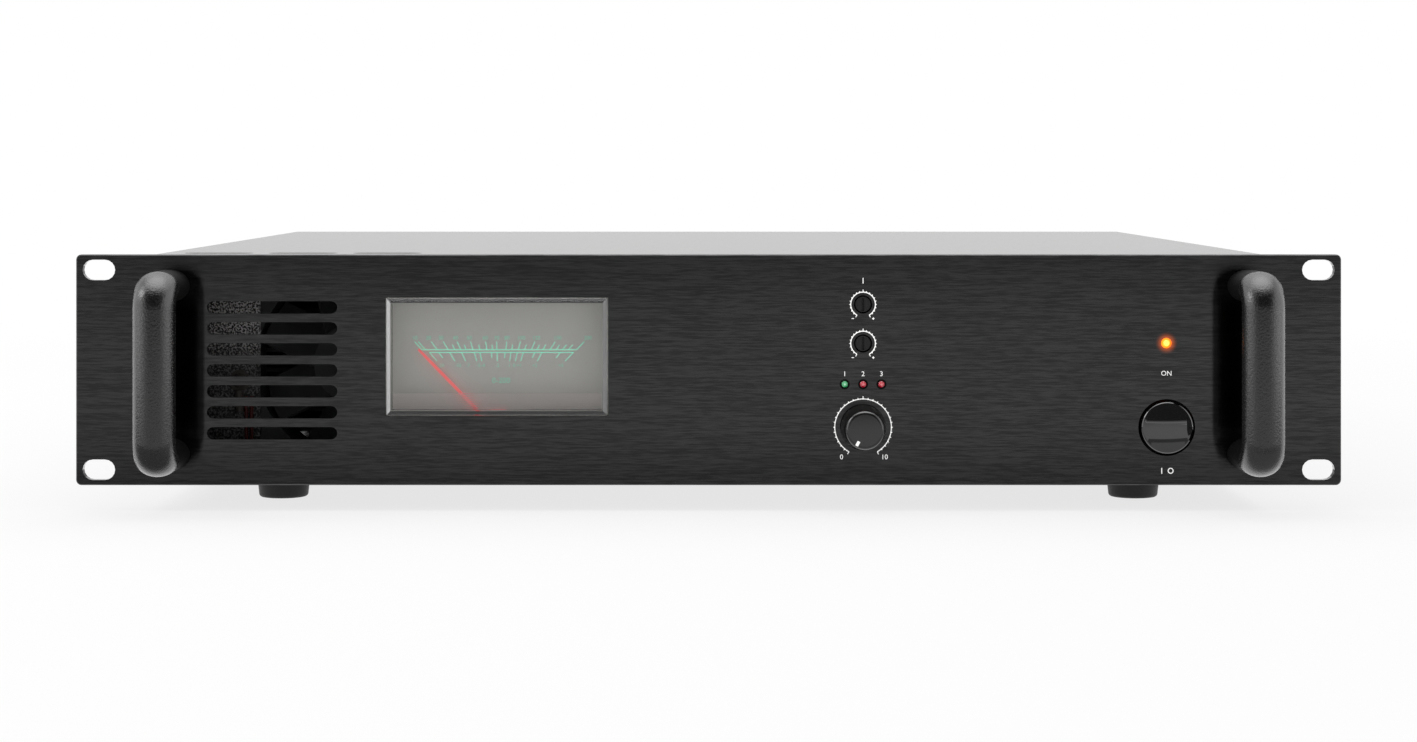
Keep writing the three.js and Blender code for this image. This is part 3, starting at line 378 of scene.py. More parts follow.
def add_box(bm, low, high):
    low, high = Vector(low), Vector(high)
    grow = Matrix.Diagonal((*(high - low), 1))
    bmesh.ops.create_cube(bm, size=1, matrix=Matrix.Translation((low + high) / 2) @ grow)


def shift(bm, offset):
    bmesh.ops.translate(bm, verts=bm.verts, vec=offset)


def join_into(bm, other):
    """Adds one bmesh to another and frees it."""
    carrier = bpy.data.meshes.new("carrier")
    other.to_mesh(carrier)
    other.free()
    bm.from_mesh(carrier)
    bpy.data.meshes.remove(carrier)


print("piece helpers ready")

# %% [markdown]
# ## Black anodised panel
# The panel is aluminium, brushed along its length and dyed black. The dye is so dark that nearly all one
# sees is what the metal still mirrors, and the brushing smears that mirror image up and down but hardly
# sideways. An anisotropic gloss gives that. The brush lines themselves are a noise that is stretched
# along X: where the dye took less, the mirror is a little brighter, and each line tilts it by a hair.
# Towards the top and bottom edges the mirror is painted a little darker, as painted shade. The amber
# halo about the power light is painted light: a glow in the panel's own emission, for what the lit lamp
# throws on the metal about it.

# %% Panel finish
noise_range = 0.3, 0.7
line_long, line_high, line_deep = 6 * mm, 0.45 * mm, 0.03 * mm
times_long, times_high = 4, 1.8
streak_share = 0.6
dye_range, dyed_least, dyed_most = (0.38, 0.62), 0.046, 0.08
painted_edge_shade = 0.24
brushed_least, brushed_most = 0.12, 0.15
halo_start, halo_end, halo_strength, halo_amber = 1.2 * mm, 5 * mm, 0.55, (1.0, 0.16, 0.01)


def brushed_panel(shader):
    fine = shader.noise(1, detail=3, stretch=(1 / line_long, 1 / line_long, 1 / line_high))
    wide = shader.noise(1, stretch=(1 / (times_long * line_long), 1 / line_long,
                                    1 / (times_high * line_high)))
    lines = fine * streak_share + wide * (1 - streak_share)
    # Painted light: an amber glow in the panel's emission about the power lamp.
    halo = shader.ramp(shader.off_axis("led_power"), halo_start, halo_end, 1, 0)
    to_edge = (shader.axis("Z") - middle("front_panel").z) * (2 / across("front_panel").z)
    # Painted shade: the mirror darkens towards the top and bottom edges.
    deeper = shader.ramp(to_edge * to_edge, 0, 1, 1, 1 - painted_edge_shade)
    mirror = shader.ramp(lines, *dye_range, dyed_least, dyed_most) * deeper
    return {
        "Base Color": shader.grey(mirror),
        "Metallic": 1.0,
        "Roughness": shader.ramp(lines, *noise_range, brushed_least, brushed_most),
        "Anisotropic": 1.0,
        "Anisotropic Rotation": 0.25,
        "Normal": shader.bump(lines, 0.6, line_deep),
        **glow(shader.mix(halo * halo, (0, 0, 0), halo_amber), halo_strength),
    }


panel_finish = material("brushed_black_anodising", brushed_panel)
print("panel finish ready")

# %% [markdown]
# ## Enamel, powder coat and plastics
# Most of the other surfaces are black too, and what tells them apart is their grain: the cast handles
# carry a fine sandy enamel, the sheet metal a satin powder coat, and the moulded parts a faint spark
# texture. One function writes all of them, from a colour, a gloss and a grain of a real size.

# %% Grainy finishes
cloud_times = 40


def grained(name, colour, roughness, grain, relief, spread=0.25, ior=1.5, extra=None):
    """A coat of one colour, with grains of one size that stand so far proud, in millimetres."""
    size, height = grain * mm, relief * mm

    def build(shader):
        specks = shader.noise(1 / size)
        clouds = shader.noise(1 / (cloud_times * size))
        clouded, speckled = (shader.ramp(pattern, *noise_range, -spread / 2, spread / 2)
                             for pattern in (clouds, specks))
        dark = tuple(c * (1 - spread) for c in colour)
        light = tuple(c * (1 + spread) for c in colour)
        return {
            "Base Color": shader.mix(clouded + speckled + 0.5, dark, light),
            "Roughness": shader.ramp(specks, 0.2, 0.8, roughness * 0.9, min(1, roughness * 1.1)),
            "IOR": ior,
            "Normal": shader.bump(specks, 0.5, height),
            **(extra or {}),
        }
    return material(name, build)


enamel = grained("sandy_black_enamel", (0.003,) * 3, 0.27, 0.75, 0.2, 1.0, 1.74)
# A darker, duller copy of the enamel for the handles' legs: painted shade.
painted_shade_enamel = grained("painted_shade_black_enamel", (0.002,) * 3, 0.6, 0.75, 0.2, 0.6, 1.2)
knob_black = (0.002, 0.0019, 0.0017)
# A darker, duller copy of the knob plastic, used as painted shade on the knob's side, round the small lamps
# and in the screw recesses.
painted_shade_plastic = grained("painted_shade_black_plastic", knob_black, 0.5, 0.2, 0.003, 0.3, 1.25)
powder = grained("satin_black_powder_coat", (0.013, 0.013, 0.0115), 0.19, 0.9, 0.006, 0.3, 1.65)
rubber = grained("matt_black_rubber", (0.018, 0.0175, 0.0175), 0.6, 0.3, 0.02, 0.25, 1.35)
black_plastic = grained("moulded_black_plastic", (0.009, 0.009, 0.0095), 0.45, 0.25, 0.01)
fan_plastic = grained("matt_fan_plastic", (0.05, 0.05, 0.053), 0.7, 0.25, 0.01, 0.3, 1.4)
knob_plastic = grained("satin_knob_plastic", knob_black, 0.22, 0.2, 0.003, 0.3, 1.77)
gloss_plastic = grained(
    "polished_black_plastic", (0.0015, 0.0015, 0.0016), 0.03, 3, 0.0005, 0.3, 1.95)
epoxy = grained("moulded_epoxy", srgb(26, 26, 29), 0.55, 0.15, 0.01)
sleeve = grained("shrunk_sleeve", srgb(36, 48, 74), 0.3, 2, 0.01)
# The dial card and the inks below glow a little: painted light, which brightens them beyond what the lamps
# give.
dial_card = grained("printed_dial_grey", (0.78, 0.76, 0.715), 0.55, 0.4, 0.003, 0.04, 1.5,
                    glow((1, 0.98, 0.94), 0.05))
white_ink = grained("white_screen_print", srgb(245, 245, 243), 0.5, 0.15, 0.004, 0.04, 1.5,
                    glow((1, 1, 1), 0.35))
green_ink = grained("green_dial_print", (0.5, 0.95, 0.78), 0.5, 0.15, 0.003, 0.05, 1.5,
                    glow((0.1, 0.55, 0.35), 0.8))
faint_ink = grained("faint_dial_print", (0.5, 0.9, 0.74), 0.5, 0.15, 0.003, 0.05, 1.5,
                    glow((0.08, 0.36, 0.24), 0.5))
# The leads and the terminal are coloured darker than they are, as painted shade, since they lie behind the
# panel.
wire_red = grained("red_wire_sheath", srgb(84, 20, 20), 0.5, 0.3, 0.004)
painted_shade_tin = grained("shade_darkened_tinned_brass", srgb(70, 64, 60), 0.55, 0.3, 0.006)


grit_size, grit_deep, facet_range = 0.75 * mm, 0.4 * mm, (0.44, 0.62)
# Painted light and shade on the inner plate: its colour is brighter at the top and darker further down.
shade_from_share, shade_full_share, shade_least, shade_most = -0.05, 0.6, 0.28, 2.05


def crinkled(shader):
    """A coarse sparkling coat, with painted light at the top that fades into painted shade further down."""
    place = middle("inner_front_plate").z
    half = across("inner_front_plate").z / 2
    shade = shader.ramp(shader.axis("Z"), place + shade_from_share * half,
                        place + shade_full_share * half, shade_least, shade_most)
    grit = shader.noise(1 / grit_size, detail=3)
    return {
        "Base Color": shader.mix(shader.ramp(grit, *facet_range) * shade, (0.004,) * 3, (0.66, 0.64, 0.64)),
        "Roughness": shader.ramp(grit, *noise_range, 0.35, 0.6),
        "Normal": shader.bump(grit, 0.9, grit_deep),
    }


crinkle = material("crinkled_grey_coat", crinkled)
print("grained finishes ready")

# %% [markdown]
# ## Metals
# Plated steel, bare aluminium and brass differ in colour and in how they were worked. Each gets a fine
# scratch noise in its roughness, so that its highlight breaks up as metal's does.

# %% Metal finishes
def metal(name, colour, roughness, scratch, stretch=(1, 1, 1)):
    def build(shader):
        lines = shader.noise(1 / scratch, detail=3, stretch=stretch)
        stain = shader.noise(scale=60)
        return {
            "Base Color": shader.mix(stain, tuple(c * 0.85 for c in colour), colour),
            "Metallic": 1.0,
            "Roughness": shader.ramp(lines, *noise_range, roughness * 0.8, roughness * 1.25),
            "Normal": shader.bump(lines, 0.15, 0.01 * mm),
        }
    return material(name, build)


zinc = metal("zinc_plate", srgb(190, 192, 190), 0.3, 0.3 * mm)
aluminium = metal("extruded_aluminium", srgb(196, 198, 200), 0.32, 0.3 * mm, (1, 0.05, 1))
brass = metal("nickel_brass", srgb(214, 190, 140), 0.25, 0.3 * mm)
print("metals ready")

# %% [markdown]
# ## Wound and laminated parts, and boards
# A toroid is wrapped in overlapping tape, a laminated core is a stack of half-millimetre sheets, and a
# circuit board has copper tracks under green lacquer. These are seen only through the vents or with the
# cover off, so a pattern in the colour and bump is enough.

# %% Tape, laminations and lacquer
tape_turns, lap_range = 44, (0.86, 0.98)
sheet_thick, sheets_below = 0.5 * mm, 1000
track_range = 0.48, 0.54


def taped(shader):
    """Tape wound round the ring: bands that run across it, counted by angle about its own middle."""
    place = middle("mains_transformer")
    across_x = shader.axis("X") - place.x
    along_y = shader.axis("Y") - place.y
    counted = along_y.math("ARCTAN2", along_y, across_x) * (tape_turns / math.tau) + tape_turns
    wave = counted.math("FRACT", counted)
    return {
        "Base Color": shader.mix(shader.ramp(wave, *lap_range), srgb(205, 148, 44), srgb(122, 74, 18)),
        "Roughness": shader.ramp(wave, 0, 1, 0.25, 0.4),
        "Normal": shader.bump(wave, 0.6, 0.3 * mm),
    }


def laminated(shader):
    counted = shader.axis("Y") * (1 / sheet_thick) + sheets_below
    sheets = counted.math("FRACT", counted)
    return {
        "Base Color": shader.mix(sheets, srgb(60, 60, 64), srgb(104, 104, 108)),
        "Metallic": 0.4,
        "Roughness": 0.5,
        "Normal": shader.bump(sheets, 0.5, 0.1 * mm),
    }


def lacquered(shader):
    tracks = shader.node("TexBrick", {
        "Vector": shader.place(), "Scale": 180.0, "Mortar Size": 0.03,
        "Color1": (0, 0, 0), "Color2": (0.5, 0.5, 0.5), "Mortar": (1, 1, 1)}, "Fac", offset=0.5)
    copper = shader.ramp(shader.noise(scale=160, detail=1), *track_range)
    return {
        "Base Color": shader.mix(copper * (1 - tracks), srgb(16, 84, 44), srgb(34, 116, 60)),
        "Roughness": 0.3,
        "Normal": shader.bump(copper, 0.4, 0.05 * mm),
    }


tape = material("wound_amber_tape", taped)
laminations = material("varnished_laminations", laminated)
lacquer = material("green_solder_lacquer", lacquered)
print("inner finishes ready")

# %% [markdown]
# ## Clear and coloured resins
# The meter's window is acrylic. Real transmission is used rather than a low alpha, because a solid clear
# block bends what lies behind it at its bevels, and that is how one recognises a thick window. It is
# bloomed like a lens, so it bends and mirrors less than bare acrylic would. The indicators are tinted
# resin domes. Nothing is seen through them, so rings of colour about each one's middle are enough: a
# painted highlight in the middle, the body's colour, and painted shade at the edge.

# %% Window and lamp resins
window_bend, acrylic_bend = 1.3, 1.49


def clear(name, colour, bend, haze_range, haze_least, haze_most):
    def build(shader):
        return {
            "Base Color": colour,
            "Roughness": shader.ramp(shader.noise(scale=900), *haze_range, haze_least, haze_most),
            "IOR": bend,
            "Transmission Weight": 1.0,
        }
    return material(name, build)


spot_edge, body_edge, lit_edge = (0.2 * mm, 0.75 * mm), (0.85 * mm, 1.35 * mm), (0.4 * mm, 1.5 * mm)


def unlit_lamp(name, node, spot, body, deep):
    """An unlit indicator: a painted highlight in its middle, its body colour, and painted shade at its
    edge.
    """
    def build(shader):
        out = shader.off_axis(node)
        inner = shader.mix(shader.ramp(out, *spot_edge), spot, body)
        return {
            "Base Color": shader.mix(shader.ramp(out, *body_edge), inner, deep),
            "Roughness": shader.ramp(shader.noise(scale=700, detail=1), *noise_range, 0.08, 0.16),
            "IOR": 1.5,
            "Coat Weight": 0.5,
            "Coat Roughness": 0.05,
        }
    return material(name, build)


def lit_resin(shader):
    """The lit lamp: whitest in its middle, orange at its rim."""
    rim = shader.ramp(shader.off_axis("led_power"), *lit_edge)
    return {
        "Base Color": (0.9, 0.35, 0.05),
        "Roughness": 0.2,
        **glow(shader.mix(rim, (1.0, 0.62, 0.1), (1.0, 0.22, 0.01)), 1.8),
    }


window_resin = clear("clear_acrylic", (0.97, 0.98, 0.975), window_bend, (0.4, 0.9), 0.0, 0.03)
rib_resin = clear("ribbed_acrylic", (0.98, 0.91, 0.905), acrylic_bend, (0.3, 0.9), 0.01, 0.05)
# Each lamp's painted highlight, body colour and painted edge shade.
greens = ((0.5, 0.95, 0.65), (0.05, 0.5, 0.18), (0.002, 0.05, 0.014))
reds = ((0.95, 0.3, 0.32), (0.62, 0.012, 0.04), (0.07, 0.001, 0.003))
green_resin = unlit_lamp("green_resin", "led_signal", *greens)
red_first = unlit_lamp("red_resin_first", "led_peak", *reds)
red_last = unlit_lamp("red_resin_last", "led_protect", *reds)
amber_resin = material("lit_amber_resin", lit_resin)


# The needle glows a little: painted light, which makes it brighter than the lamps alone would.
def lacquered_red(shader):
    return {
        "Base Color": shader.mix(shader.noise(scale=3000), (0.9, 0.14, 0.14), (0.98, 0.18, 0.18)),
        "Roughness": 0.4,
        **glow((1.0, 0.19, 0.19), 0.42),
    }


needle_red = material("red_needle_lacquer", lacquered_red)
print("resins ready")

# %% [markdown]
# ## Finishes for the ready solids
# The record names a finish for every solid. A table from those names to the materials above dresses all
# of them at once, and a few solids that differ from their kind are set afterwards.

# %% Dress the solids
finishes = dict(
    anodised_panel=panel_finish, handle_enamel=enamel, powder_coat=powder, zinc_steel=zinc,
    foot_rubber=rubber, black_plastic=black_plastic, dial_card=dial_card, clear_window=window_resin,
    needle_red=needle_red, circuit_board=lacquer, led_green=green_resin, led_red=red_first,
    led_amber=amber_resin, bare_aluminium=aluminium, knob_plastic=knob_plastic,
    button_gloss=gloss_plastic, black_epoxy=epoxy, capacitor_sleeve=sleeve, winding_tape=tape,
    core_iron=laminations, socket_brass=brass)


def dress(node, look):
    solid = frame["nodes"][node]
    if not solid.material_slots:
        solid.data.materials.append(look)
    for holder in solid.material_slots:
        holder.material = look


slot_of = {part["node"]: part["material_slot"] for part in frame["record"]["subparts"]}
for node, slot_name in slot_of.items():
    dress(node, finishes[slot_name])
dress("inner_front_plate", crinkle)
for node in ("fan_frame", "fan_rotor", "heatsink"):
    dress(node, fan_plastic)
print("dressed", len(slot_of), "solids")

# %% [markdown]
# ## Bow handles
# A bow handle is one bar, bent twice. The way it is made in the workshop is also the easiest way to
# model it: take the bar's oval section, push it straight out of the panel, swing it round the bend, run
# it up, swing it round again and bring it back. Spin and extrude do exactly those steps. The two legs
# lie in the bar's own shade, so they carry a darker, duller copy of the enamel, as painted shade.

# %% Push, fill and stand up
def of_kind(geom, kind):
    return [g for g in geom if isinstance(g, kind)]


def push(bm, edges, offset):
    """Extrudes a loop of edges by an offset and returns the new loop."""
    made = bmesh.ops.extrude_edge_only(bm, edges=edges)["geom"]
    bmesh.ops.translate(bm, verts=of_kind(made, bmesh.types.BMVert), vec=offset)
    return of_kind(made, bmesh.types.BMEdge)


def fill_holes(bm):
    bmesh.ops.holes_fill(bm, edges=[e for e in bm.edges if e.is_boundary], sides=0)


def stood_up(place, half_x=1, half_z=1):
    """Stands a flat shape up to face the front, at a place and at a size."""
    stand = Matrix.Translation(place) @ Matrix.Rotation(right_angle, 4, "X")
    return stand @ Matrix.Diagonal((half_x, half_z, 1, 1))


def more_looks(piece, looks, choose):
    """Adds materials, and gives each face the one whose number is chosen from the face's middle."""
    for look in looks:
        piece.data.materials.append(look)
    for polygon in piece.data.polygons:
        polygon.material_index = int(choose(polygon.center))


print("section helpers ready")

# %% Handles
bar_thick, bar_bend = 12.6 * mm, 7.6 * mm
section_sides, bend_steps = 48, 14


def swing(bm, edges, centre, turn):
    """Spins a loop of edges about an X axis through centre and returns the last loop."""
    points = list({v for e in edges for v in e.verts})
    made = bmesh.ops.spin(bm, geom=points + edges, cent=centre, axis=(1, 0, 0), angle=turn,
                          steps=bend_steps)["geom_last"]
    return of_kind(made, bmesh.types.BMEdge)


def bow_handle(node):
    low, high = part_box(node)
    place = (low + high) / 2
    leg_z = low.z + bar_thick / 2
    elbow_y = low.y + bar_thick / 2 + bar_bend
    bm = bmesh.new()
    oval = stood_up((place.x, high.y, leg_z), (high.x - low.x) / 2, bar_thick / 2)
    bmesh.ops.create_circle(bm, segments=section_sides, radius=1, matrix=oval)
    loop = list(bm.edges)
    loop = push(bm, loop, (0, elbow_y - high.y, 0))
    loop = swing(bm, loop, (place.x, elbow_y, leg_z + bar_bend), -right_angle)
    loop = push(bm, loop, (0, 0, 2 * (place.z - leg_z - bar_bend)))
    top_centre = (place.x, elbow_y, 2 * place.z - leg_z - bar_bend)
    loop = swing(bm, loop, top_centre, -right_angle)
    push(bm, loop, (0, high.y - elbow_y, 0))
    merge(bm)
    fill_holes(bm)
    bmesh.ops.recalc_face_normals(bm, faces=bm.faces)
    made = add_piece(node + "_bar", bm, enamel, "root", [node], smooth=50)
    # The legs, behind the front elbows, take the painted-shade copy of the enamel.
    more_looks(made, [painted_shade_enamel], lambda at: at.y > elbow_y)
    return made


for node in ("handle_left", "handle_right"):
    bar = bow_handle(node)
    print(bar.name, "faces", len(bar.data.polygons))

# %% [markdown]
# ## Volume knob
# The knob is a moulded cone with a soft edge and a white mark set in its face. A profile of five points,
# spun and bevelled, is all it needs. Its side takes a darker, duller copy of the plastic, as painted shade.
# The mark is a small bar near the rim, turned to the knob's rest position at the lower left.

# %% Turned pieces
def turned(profile, steps=64, upright=False):
    """(radius, place along the axis) points spun about Y or Z, with the seam and the poles closed."""
    bm = bmesh.new()
    points = [bm.verts.new((radius, 0, along) if upright else (radius, along, 0))
              for radius, along in profile]
    edges = [bm.edges.new(pair) for pair in zip(points, points[1:])]
    bmesh.ops.spin(bm, geom=points + edges, cent=(0, 0, 0), axis=(0, 0, 1) if upright else (0, 1, 0),
                   angle=math.tau, steps=steps, use_merge=True)
    merge(bm)
    return bm


def round_rim(bm, on_rim, offset, segments):
    """Bevels the edges whose two ends are both on the rim."""
    rim = [e for e in bm.edges if all(on_rim(v.co) for v in e.verts)]
    bmesh.ops.bevel(bm, geom=rim, offset=offset, segments=segments, profile=0.5, affect="EDGES",
                    material=-1, clamp_overlap=True)


print("turning helpers ready")

# %% Knob
knob_face, knob_skirt, knob_round = 14.6 * mm, 2 * mm, 1.3 * mm
mark_radius, mark_width, mark_long, mark_thick = 5.6 * mm, 1.1 * mm, 1.9 * mm, 0.08 * mm
rest_turn = math.radians(-150)
painted_shade_from = 1.5 * knob_round

knob_low, knob_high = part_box("volume_knob")
knob_middle = middle("volume_knob")
knob_base = knob_high.x - knob_low.x
bm = turned([
    (0, knob_low.y), (knob_face / 2, knob_low.y), (knob_base / 2, knob_high.y - knob_skirt),
    (knob_base / 2, knob_high.y), (0, knob_high.y)], steps=96)
round_rim(bm, lambda at: abs(at.y - knob_low.y) < hair and at.xz.length > knob_face / 2 - 10 * hair,
          knob_round, segments=6)
shift(bm, (knob_middle.x, 0, knob_middle.z))
cap = add_piece("volume_knob_cap", bm, knob_plastic, "volume", ["volume_knob"], smooth=40)
# The knob's side takes the painted-shade copy of the plastic.
more_looks(cap, [painted_shade_plastic], lambda at: at.y > knob_low.y + painted_shade_from)

bm = bmesh.new()
add_box(bm, (-mark_width / 2, -mark_thick, mark_radius - mark_long / 2),
        (mark_width / 2, mark_thick, mark_radius + mark_long / 2))
bmesh.ops.rotate(bm, verts=bm.verts, cent=(0, 0, 0), matrix=Matrix.Rotation(rest_turn, 3, "Y"))
shift(bm, (knob_middle.x, knob_low.y, knob_middle.z))
add_piece("volume_mark", bm, white_ink, "volume")
print("knob base", round(knob_base / mm, 2), "mm")

# %% [markdown]
# ## Power button
# The cap is a polished disc with a low dome. Its dome is what makes it read as glossy: the lower half
# mirrors the pale floor, the upper half the dark side of the studio, and the near edge the handle.

# %% Button
button_low, button_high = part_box("power_button")
button_middle = middle("power_button")
button_across = button_high.x - button_low.x
button_rim, button_crown = 0.9 * mm, 0.95 * mm
skirt_reach, stem_across = 9 * mm, 6 * mm
dome_steps, rim_steps = 12, 6


def quarter(radius, steps):
    """(outward, back) points of a quarter circle, from its pole to its widest."""
    angles = [right_angle * step / steps for step in range(steps + 1)]
    return [(radius * math.sin(angle), radius * (1 - math.cos(angle))) for angle in angles]


inner = button_across / 2 - button_rim
profile = []
for step in range(dome_steps + 1):
    share = step / dome_steps
    profile.append((inner * share, button_low.y + button_crown * share ** 2))
rim_y = button_low.y + button_crown
profile += [(inner + out, rim_y + back) for out, back in quarter(button_rim, rim_steps)[1:]]
skirt_y = rim_y + skirt_reach
profile += [(button_across / 2, skirt_y), (stem_across / 2, skirt_y), (stem_across / 2, button_high.y),
            (0, button_high.y)]
bm = turned(profile, steps=128)
shift(bm, (button_middle.x, 0, button_middle.z))
add_piece("power_button_cap", bm, gloss_plastic, "power", ["power_button"], smooth=40)
print("button across", round(button_across / mm, 2), "mm")

# %% [markdown]
# ## Indicator lights
# An indicator is a resin bullet: a half-round lens, a short barrel that fills the panel's hole, and a
# flange that stops it from falling through. It is one profile, spun, with two legs of plain wire. A thin
# black ring about the lens is painted shade, for the dark gap at the edge of the hole. The lit one has a
# long barrel in place of legs, and no such ring.

# %% Indicators
lens_radius, lens_steps = 1.45 * mm, 8
seat_gap, flange_thick = 0.3 * mm, 1 * mm
leg_width, leg_apart = 0.5 * mm, 1.46 * mm
shade_ring_wide, shade_ring_thick, shade_ring_gap = 0.45 * mm, 0.12 * mm, 0.02 * mm


def indicator(node, look, barrel):
    low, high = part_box(node)
    place = (low + high) / 2
    seat = panel_back + seat_gap
    rim = (high.x - low.x) / 2
    profile = [(out, low.y + inward) for out, inward in quarter(lens_radius, lens_steps)]
    back = high.y if barrel else seat + flange_thick
    profile += [(lens_radius, seat), (rim, seat), (rim, back), (0, back)]
    bm = turned(profile, steps=40)
    if not barrel:
        half = leg_width / 2
        for x in (-leg_apart / 2, leg_apart / 2):
            add_box(bm, (x - half, back, -half), (x + half, high.y, half))
    shift(bm, (place.x, 0, place.z))
    add_piece(node + "_lens", bm, look, "root", [node], smooth=40)


indicator("led_signal", green_resin, barrel=False)
indicator("led_peak", red_first, barrel=False)
indicator("led_protect", red_last, barrel=False)
indicator("led_power", amber_resin, barrel=True)
small_lamps = ("led_signal", "led_peak", "led_protect")
# Painted shade: a thin black ring about each unlit lamp, for the dark gap at the hole's edge.
for node in small_lamps:
    place = middle(node)
    edge = lens_radius + shade_ring_gap
    bm = turned([(edge, panel_face), (edge, panel_face - shade_ring_thick),
                 (edge + shade_ring_wide, panel_face - shade_ring_thick / 3), (edge + shade_ring_wide, panel_face),
                 (edge, panel_face)], steps=40)
    shift(bm, (place.x, 0, place.z))
    add_piece(node + "_bezel", bm, painted_shade_plastic, smooth=40)
print("indicators ready")

# %% [markdown]
# ## Trimmer rotors
# A trimmer is set with a screwdriver, so its rotor has a slot. The slot is cut by slicing the round face
# along four lines and pushing the strip between them inward.

# %% Trimmer rotors
slot_wide, slot_long, slot_deep = 1 * mm, 4.9 * mm, 1.2 * mm


def slotted_rotor(node, body):
    low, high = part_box(node)
    place = (low + high) / 2
    radius = (high.x - low.x) / 2
    bm = bmesh.new()
    bmesh.ops.create_circle(bm, cap_ends=True, segments=40, radius=radius, matrix=stood_up((0, low.y, 0)))
    for axis, half in (((1, 0, 0), slot_wide / 2), ((0, 0, 1), slot_long / 2)):
        for side in (-1, 1):
            bmesh.ops.bisect_plane(bm, geom=bm.verts[:] + bm.edges[:] + bm.faces[:], dist=hair / 10,
                                   plane_co=Vector(axis) * half * side, plane_no=axis)
    strip = min(bm.faces, key=lambda f: f.calc_center_median().xz.length)
    made = bmesh.ops.extrude_face_region(bm, geom=[strip])["geom"]
    bmesh.ops.delete(bm, geom=[strip], context="FACES")
    bmesh.ops.translate(bm, verts=of_kind(made, bmesh.types.BMVert), vec=(0, slot_deep, 0))
    push(bm, [e for e in bm.edges if e.is_boundary], (0, high.y - low.y, 0))
    fill_holes(bm)
    shift(bm, (place.x, 0, place.z))
    merge(bm)
    add_piece(node + "_rotor", bm, black_plastic, body, [node])


slotted_rotor("treble_trim", "treble")
slotted_rotor("bass_trim", "bass")
print("rotors ready")

# %% [markdown]
# ## Feet
# A foot is a rubber plug, wider at the top, with a recess below for its screw. It is spun about Z, then
# its lower rim is rounded, since rubber never comes out of the mould with a sharp edge.

# %% Feet
foot_bottom, foot_round = 19.2 * mm, 1.1 * mm
recess_radius, recess_deep = 4.5 * mm, 4 * mm
screw_radius, screw_high, flat_share, rim_share = 3.4 * mm, 2 * mm, 0.6, 0.4

for node in ("foot_front_left", "foot_front_right", "foot_rear_left", "foot_rear_right"):
    low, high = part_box(node)
    place = (low + high) / 2
    seat = low.z + recess_deep
    bm = turned([(0, seat), (recess_radius, seat), (recess_radius, low.z), (foot_bottom / 2, low.z),
                 ((high.x - low.x) / 2, high.z), (0, high.z)], upright=True)
    round_rim(bm, lambda at: abs(at.z - low.z) < hair and at.xy.length > recess_radius + 10 * hair,
              foot_round, segments=4)
    shift(bm, (place.x, place.y, 0))
    add_piece(node + "_rubber", bm, rubber, "root", [node], smooth=40)
    bm = turned([(0, seat - screw_high), (screw_radius * flat_share, seat - screw_high),
                 (screw_radius, seat - screw_high * rim_share), (screw_radius, seat), (0, seat)],
                steps=32, upright=True)
    shift(bm, (place.x, place.y, 0))
    add_piece(node + "_screw", bm, zinc)
print("feet ready")

# %% [markdown]
# ## Ribbed band behind the window
# The lower part of the window is ribbed on its inside, so the needle's foot is blurred there. A row of
# thin clear rods, flattened to lenses, bends the light as such ribs do.

# %% Ribs
rib_count, rib_sides = 9, 12
rib_band = (-20.2 * mm, -14.3 * mm)
rib_half_length = 39.9 * mm
rib_place = panel_face + 0.9 * mm
rib_flat_share, rib_fill_share = 0.22, 0.82

rib_pitch = (rib_band[1] - rib_band[0]) / (rib_count - 1)
rib_across = rib_fill_share * rib_pitch
meter_middle = middle("meter_window")
bm = bmesh.new()
for index in range(rib_count):
    place = (meter_middle.x, rib_place, meter_middle.z + rib_band[0] + index * rib_pitch)
    lie = Matrix.Translation(place) @ Matrix.Diagonal((1, rib_flat_share, 1, 1))
    lie = lie @ Matrix.Rotation(right_angle, 4, "Y")
    bmesh.ops.create_cone(bm, cap_ends=True, segments=rib_sides, radius1=rib_across / 2,
                          radius2=rib_across / 2, depth=2 * rib_half_length, matrix=lie)
add_piece("window_ribs", bm, rib_resin, smooth=60)
print("ribs", rib_count, "pitch", round(rib_pitch / mm, 2), "mm")

# %% [markdown]
# ## Rim of the window
# A clear moulding gathers light in its bevelled rim, and one sees it as four strips of different grey:
# light at the left, where the lamp stands, dark along the top and bottom. Here that light and shade are
# painted: each strip gets its own grey and glow. They are made as a frame would be: a sheet as large as
# the window is inset, and its middle is pushed forward and taken out.

# %% Window rim
rim_wide, rim_rise, rim_thick, rim_behind = 1.4 * mm, 1.1 * mm, 0.05 * mm, 0.25 * mm
window_flange = 3 * mm
# Painted light and shade: a grey and a glow for each strip of the rim.
painted_rim_greys = {"left": 0.42, "right": 0.17, "top": 0.03, "bottom": 0.05}
painted_rim_glows = {"left": 0.26, "right": 0.12, "top": 0.0, "bottom": 0.01}

window_size = across("meter_window")
window_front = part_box("meter_window")[0].y
seen_half = Vector((window_size.x / 2 - window_flange - rim_behind,
                    window_size.z / 2 - window_flange - rim_behind))
rim_place = (meter_middle.x, window_front + rim_rise + rim_behind, meter_middle.z)


def side_of(place):
    """0 left, 1 right, 2 top or 3 bottom."""
    aside = (place.x - meter_middle.x) / seen_half.x
    up = (place.z - meter_middle.z) / seen_half.y
    return int(aside >= 0) if abs(aside) > abs(up) else 2 + int(up <= 0)


